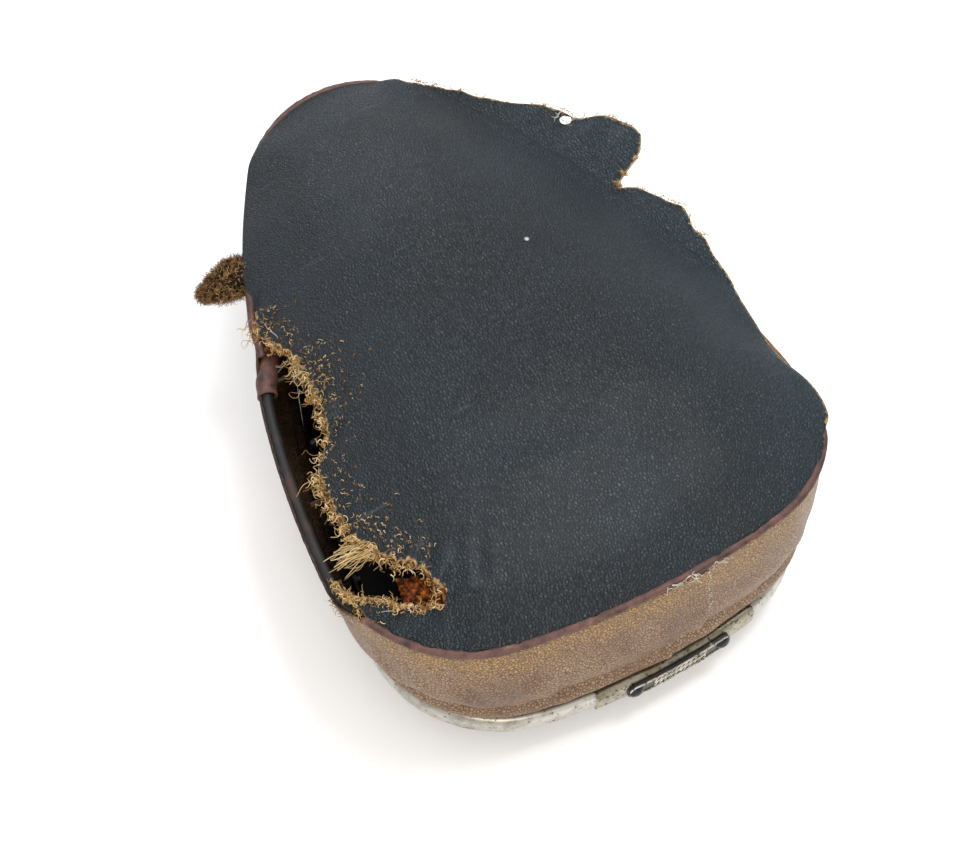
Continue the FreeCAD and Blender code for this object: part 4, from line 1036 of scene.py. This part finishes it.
def ear_point(u, v, scale):
    """Point of the ear's ellipsoid, which is broad inside and pointed outside, at a scale."""
    slim = (np.sin(u)**0.8 * (0.74 + 0.34 * np.cos(u)) * scale)[..., None]
    return (EAR_PLACE - along_ear * (np.cos(u) * scale * EAR_HALF[0])[..., None]
            + across_ear * (slim * EAR_HALF[1] * np.cos(v)[..., None])
            + over_ear * (slim * EAR_HALF[2] * np.sin(v)[..., None]))


ear_rows = ear_point(ear_u, ear_v, swell_ear)
ear_ends = ear_point(np.array([0.0, np.pi]), np.zeros(2), np.ones(2))
ear = mesh_piece("felted_hair_lump", np.vstack([ear_rows.reshape(-1, 3), ear_ends]), [
    grid_faces(EAR_RINGS, EAR_SIDES, close_columns=True),
    fan(EAR_RINGS * EAR_SIDES, 0, EAR_SIDES),
    fan(EAR_RINGS * EAR_SIDES + 1, (EAR_RINGS - 1) * EAR_SIDES, EAR_SIDES)])
face_out(ear)
ear.data.materials.append(hair)
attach(ear, "cushion")
count = 2600
pick_u, pick_v = np.arccos(draw.uniform(-1, 1, count)), draw.uniform(0, TURN, count)
roots = ear_point(pick_u, pick_v, np.full(count, 0.97))
fibres("ear_hair", dark_hair, "coir_pad", roots, roots - EAR_PLACE + draw.normal(0, 4, (count, 3)),
       (1.0, 3.8), (0.3, 1.2), (0.3, 1.4), (0, 0.8), (0.11, 0.24))

# felt fuzz at the corner, where the skirt and the seam have parted
count = 700
fall = draw.uniform(0, 1, count)
roots = np.c_[-124 - 9 * fall + draw.normal(0, 1.8, count), -124 + 24 * fall
              + draw.normal(0, 2.5, count), 106 - 12 * fall + draw.normal(0, 2.5, count)]
ways = np.c_[draw.normal(-0.7, 0.7, count), draw.normal(-0.4, 0.7, count),
             draw.normal(-0.1, 0.7, count)]
fibres("corner_fuzz", coir, "coir_pad", roots, ways, (1.5, 4.5), (0.5, 1.6), (0.5, 1.8), (0, 2),
       (0.16, 0.34))

# dry fibres fringe the free border on the right, most of all in the notch of the flap
count = 260
fringe_y = np.r_[draw.normal(45, 1.6, 90), draw.uniform(-12, 36, 60), draw.uniform(62, 112, 60),
                 draw.uniform(120, 170, 50)]
right_columns = np.nonzero(ON_RIGHT & (ALONG > -60))[0]
pick = right_columns[np.argmin(np.abs(ALONG[right_columns][None] - fringe_y[:, None]), axis=1)]
roots = skin_edge[-1][pick] + draw.normal(0, 0.5, (count, 3))
roots[:, 2] += 0.8
ways = np.c_[TOP_OUT[pick] * 0.5, np.zeros(count)] + draw.normal(0, 0.7, (count, 3)) * [1, 1, 0.3]
fibres("flap_fringe", coir, "coir_pad", roots, ways, (0.8, 2.8), (0.3, 1.2), (0.5, 1.8),
       (0, 0.6), (0.14, 0.3))

# ends of sewing thread: by the tear, round the hole in the flap, and at the cracked welt
ends = np.array([(-96, -2, 118), (-97, 10, 118), (-99, 22, 117), (-100, 44, 116),
                 (-113, -132, 108), (-118, -128, 108), (-104, -60, 112)], float)
few, many = 14, 26
roots = np.repeat(ends, 2, axis=0) + draw.normal(0, 0.8, (few, 3))
ways = draw.normal(0, 0.5, (few, 3)) + [-0.6, -0.4, 0.0]
ring = np.arange(few) / few * TURN
round_hole = np.c_[HOLE_PLACE[0] + 4.0 * np.cos(ring), HOLE_PLACE[1] + 4.0 * np.sin(ring),
                   np.full(few, 115.0)]
round_ways = np.c_[-np.sin(ring), np.cos(ring), np.full(few, 0.1)] + draw.normal(0, 0.3, (few, 3))
at_welt = np.c_[draw.uniform(1, 37, many), np.full(many, -178.5), draw.uniform(106, 111, many)]
welt_ways = np.c_[draw.normal(0, 1, many), draw.normal(-0.2, 0.2, many),
                  draw.normal(0, 0.3, many)]
roots = np.vstack([roots, round_hole, at_welt])
ways = np.vstack([ways, round_ways, welt_ways])
lengths = np.r_[draw.uniform(6, 15, few), draw.uniform(3, 7, few), draw.uniform(2, 6, many)]
fibres("thread_ends", white_thread, "tie_twine", roots, ways, lengths, 0.14 * lengths, (0.3, 1.0),
       0.15 * lengths, 0.26, stations=14, sides=4)

# --- Aluminium trim, sleeve and badge -----------------------------------------------------
# A half-round aluminium moulding holds the skirt to the pan. A pressed sleeve covers its
# joint at the rear, and a black plate with a raised bright rim is riveted to the sleeve.
# The metal is dull, pitted and edged with grime.


def aged_aluminium(name, light, dark, grime_share):
    """Old rolled aluminium: fine pits, grey bloom and brown grime in its upper edge."""
    made, tree, shader = start_material(name, Metallic=0.9)
    place = add_node(tree, "TexCoord").outputs["Object"]
    bloom = add_node(tree, "TexNoise", {"Vector": place, "Scale": 70.0, "Detail": 7.0,
                                        "Roughness": 0.7})
    metal = add_node(tree, "ValToRGB", {"Fac": bloom.outputs["Fac"]},
                     stops=[(0.36, dark), (0.56, light)])
    pits = add_node(tree, "TexNoise", {"Vector": place, "Scale": 520.0, "Detail": 3.0})
    specks = add_node(tree, "ValToRGB", {"Fac": pits.outputs["Fac"]},
                      stops=[(grime_share, "#3b3126"), (grime_share + 0.07, (1, 1, 1, 1))])
    shown = add_node(tree, "Mix", {0: 0.85, 6: metal.outputs["Color"],
                                   7: specks.outputs["Color"]},
                     data_type="RGBA", blend_type="MULTIPLY").outputs[2]
    part_of = add_node(tree, "SeparateXYZ", {"Vector": place})
    upper = add_node(tree, "MapRange", {"Value": part_of.outputs["Z"],
                                        "From Min": (TRIM_TOP - 2.6) * MM,
                                        "From Max": (TRIM_TOP + 0.2) * MM, "To Max": 0.75})
    soiled = add_node(tree, "Math", {0: upper.outputs[0], 1: bloom.outputs["Fac"]},
                      operation="MULTIPLY")
    dirty = laid_over(tree, shown, (soiled.outputs[0], "#4a3d2e"))
    tree.links.new(dirty, shader.inputs["Base Color"])
    gloss = add_node(tree, "MapRange", {"Value": bloom.outputs["Fac"], "To Min": 0.28,
                                        "To Max": 0.55})
    tree.links.new(gloss.outputs[0], shader.inputs["Roughness"])
    pit_bump = add_node(tree, "Bump", {"Height": pits.outputs["Fac"], "Strength": 0.3,
                                       "Distance": 0.15 * MM})
    tree.links.new(pit_bump.outputs["Normal"], shader.inputs["Normal"])
    return made


SECTION_STEPS, CORNER_LIFT, SLEEVE_DEPTH = 22, 2.2, 5.5


def moulding(name, columns, depth, half_tall, middle_z, squareness, back):
    """Rounded bar along the base line: a section of depth outwards carried over columns.

    The front of the section is a superellipse, reach = depth x cos^squareness and height =
    half x sin^squareness; its back is a flat face at a depth of its own.
    """
    turn = np.linspace(np.pi / 2, -np.pi / 2, SECTION_STEPS)
    reach = back + (depth - back) * np.cos(turn)**squareness
    height = middle_z + half_tall * np.sign(np.sin(turn)) * np.abs(np.sin(turn))**0.9
    # a knock has raised the moulding at the left rear corner
    lift = CORNER_LIFT * soft_step(-BASE_LINE[columns, 0], 35, 95) * (ALONG[columns] < -40)
    dent = 0.16 * ripple(BASE_LINE[columns, 0], ALONG[columns], 34, 81)[None]
    bar = np.dstack([
        BASE_LINE[columns][None] + BASE_OUT[columns][None] * (reach[:, None] + dent
                                                              * (reach > back)[:, None])[..., None],
        height[:, None] + lift[None]])
    steps, rows = len(columns), np.arange(SECTION_STEPS)[None]
    piece = mesh_piece(name, bar, [grid_faces(SECTION_STEPS, steps, close_rows=True),
                                   rows * steps, rows[:, ::-1] * steps + steps - 1])
    face_out(piece)
    return piece


joint_x = centre_mm("joint_sleeve")[0]
at_back = BASE_LINE[:, 1] < -100
gap_column = int(np.argmin(np.abs(BASE_LINE[:, 0] - joint_x) + 1e3 * ~at_back))
trim_half = (TRIM_TOP - trim_low[2]) / 2
trim_columns = (gap_column + 1 + np.arange(ROUND - 1)) % ROUND
trim = moulding("half_round_trim", trim_columns, TRIM_DEPTH + 0.3, trim_half,
                trim_low[2] + trim_half, 0.75, 0.1)
trim.data.materials.append(aged_aluminium("rolled_aluminium_trim", "#bfbdb4", "#878378", 0.30))
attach(trim, "base")
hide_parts("trim_moulding")
sleeve_low, sleeve_high = box_mm("joint_sleeve")
sleeve_columns = np.nonzero(at_back & (BASE_LINE[:, 0] > sleeve_low[0])
                            & (BASE_LINE[:, 0] < sleeve_high[0]))[0]
sleeve_columns = sleeve_columns[np.argsort(BASE_LINE[sleeve_columns, 0])]
sleeve = moulding("joint_sleeve_pressing", sleeve_columns, SLEEVE_DEPTH,
                  (sleeve_high[2] - sleeve_low[2]) / 2, centre_mm("joint_sleeve")[2], 0.42, 0.6)
sleeve.data.materials.append(aged_aluminium("pressed_aluminium_sleeve", "#a9a391", "#6f6853",
                                            0.36))
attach(sleeve, "base")
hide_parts("joint_sleeve")

BADGE_MARGIN, BADGE_RIM, RELIEF, SUNK = 0.4, 1.0, 0.7, -0.2
badge_low, badge_high = box_mm("badge_plate")
badge_x, _, badge_z = centre_mm("badge_plate")
half_wide, _, half_tall = (badge_high - badge_low) / 2 - BADGE_MARGIN


def on_badge(flat):
    """Carries points drawn flat on the plate (aside, up, out) on to its curved front."""
    rear = BASE_LINE[:, 1].min()
    radius = BASE_RADII[0] + rear - badge_low[1] + flat[..., 2]
    aside = flat[..., 0] + badge_x
    return np.stack([aside, rear + BASE_RADII[0] - np.sqrt(radius**2 - aside**2),
                     flat[..., 1] + badge_z], -1)


def ridges(*rings):
    """Rows of badge points from outlines (x, up), each with its height over the plate."""
    return np.stack([np.c_[line, np.full(len(line), height)] for line, height in rings])


def relief_bar(ring, height):
    """Raised bar on the plate: an outline (x, up) drawn anticlockwise, with sloped sides."""
    middle, count = ring.mean(0), len(ring)
    inner = middle + (ring - middle) * 0.82
    rows = ridges((ring, SUNK), (ring, height * 0.6), (inner, height))
    points = on_badge(np.vstack([rows.reshape(-1, 3), [[*middle, height]]]))
    return points, [grid_faces(3, count, close_columns=True), fan(3 * count, 2 * count, count)]


def round_slab(wide, tall, corner, steps=10):
    """Outline of a rectangle with rounded corners, anticlockwise about the origin."""
    sweep = np.linspace(0, np.pi / 2, steps)
    arc = np.c_[np.cos(sweep), np.sin(sweep)] * corner
    top = np.vstack([arc + [wide - corner, tall - corner],
                     arc[::-1] * [-1, 1] + [corner - wide, tall - corner]])
    line = np.vstack([top, -top])
    # long sides get points between, so that they can bend with the plate
    return np.vstack([
        start + (end - start) * np.linspace(0, 1, 14 if np.hypot(*(end - start)) > 4 else 1,
                                            endpoint=False)[:, None]
        for start, end in zip(line, np.roll(line, -1, axis=0))])


border = round_slab(half_wide, half_tall, 3.4)
inside_line = round_slab(half_wide - BADGE_RIM, half_tall - BADGE_RIM, 2.5)
rim_rows = ridges((border, SUNK), (border, RELIEF), (inside_line, RELIEF), (inside_line, SUNK))
rim_piece = mesh_piece("badge_rim", on_badge(rim_rows),
                       [grid_faces(4, len(border), close_rows=True, close_columns=True)])
face_out(rim_piece)
# a plain raised pattern: a long bar between rows of slanted strokes
blocks_points, blocks_faces, total = [], [], 0
for place_x, place_up, wide, tall, lean in (
        [(0.0, 0.0, 16.0, 0.8, 0.0)]
        + [(x, side * 2.4, 0.55, 1.1, 0.7) for x in np.arange(-15, 16, 3.0)
           for side in (-1, 1)]):
    corners = round_slab(wide, tall, min(wide, tall) * 0.6, steps=4)
    corners[:, 0] += lean * corners[:, 1] + place_x
    corners[:, 1] += place_up
    points, faces = relief_bar(corners, RELIEF * 0.7)
    blocks_points.append(points)
    blocks_faces += [block + total for block in faces]
    total += len(points)
relief = mesh_piece("badge_relief", np.vstack(blocks_points), blocks_faces, smooth=False)
face_out(relief)
bright = aged_aluminium("bright_badge_edge", "#c9c5b8", "#8f8a7a", 0.36)
for piece in (rim_piece, relief):
    piece.data.materials.append(bright)
    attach(piece, "base")
# Black stove enamel, chipped to the metal, and dark blued rivets.
enamel_badge = mottled("black_stove_enamel", 260.0, 5.0,
                       [(0.5, "#191817"), (0.66, "#2f2c28"), (0.72, "#8a8578")],
                       gloss=(0.25, 0.5), Specular_IOR_Level=0.5)
finish_node("badge_plate", enamel_badge)
blued = mottled("blued_rivet_steel", 300.0, 4.0, [(0.4, "#131419"), (0.62, "#22242e")],
                gloss=(0.2, 0.42), Metallic=0.6)
finish_node("badge_rivets", blued)

# --- Pan, hinge, bracket, rail, buffers and fixings ---------------------------------------
# The pan and the fittings below it are black enamelled steel with rust where it has
# chipped; the pins, nuts and studs are zinc plated, and the buffers are moulded rubber.
FITTINGS = (
    ("chipped_black_enamel", 45.0, ("#151516", "#26211e", "#6b4227"), (0.25, 0.75), 0.0,
     ("seat_pan", "pan_band", "nose_bracket", "hinge_lugs", "rear_crossrail")),
    ("dulled_zinc_plate", 120.0, ("#9a9c9b", "#84827a", "#6f6455"), (0.3, 0.6), 0.9,
     ("hinge_pin", "pin_washer", "split_pin", "lug_rivets", "buffer_studs", "buffer_washers",
      "buffer_nuts", "trim_studs", "trim_nuts", "spring_staples")),
    ("moulded_black_rubber", 80.0, ("#1b1b1b", "#242322", "#2f2c2a"), (0.6, 0.9), 0.0,
     ("buffer_right", "buffer_left")))
for name, scale, colours, gloss, metallic, nodes in FITTINGS:
    material = mottled(name, scale, 8.0, list(zip((0.45, 0.58, 0.68), colours)), gloss=gloss,
                       pits=(0.35, 0.3), grain=0.66, Metallic=metallic)
    for node in nodes:
        finish_node(node, material)
# Waxed hemp twine: dull tan strands.
twine = mottled("waxed_tie_twine", 600.0, 3.0, [(0.4, "#5c4a33"), (0.6, "#a48c64")],
                Roughness=0.85)
finish_node("spring_ties", twine)

low, high_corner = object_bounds()
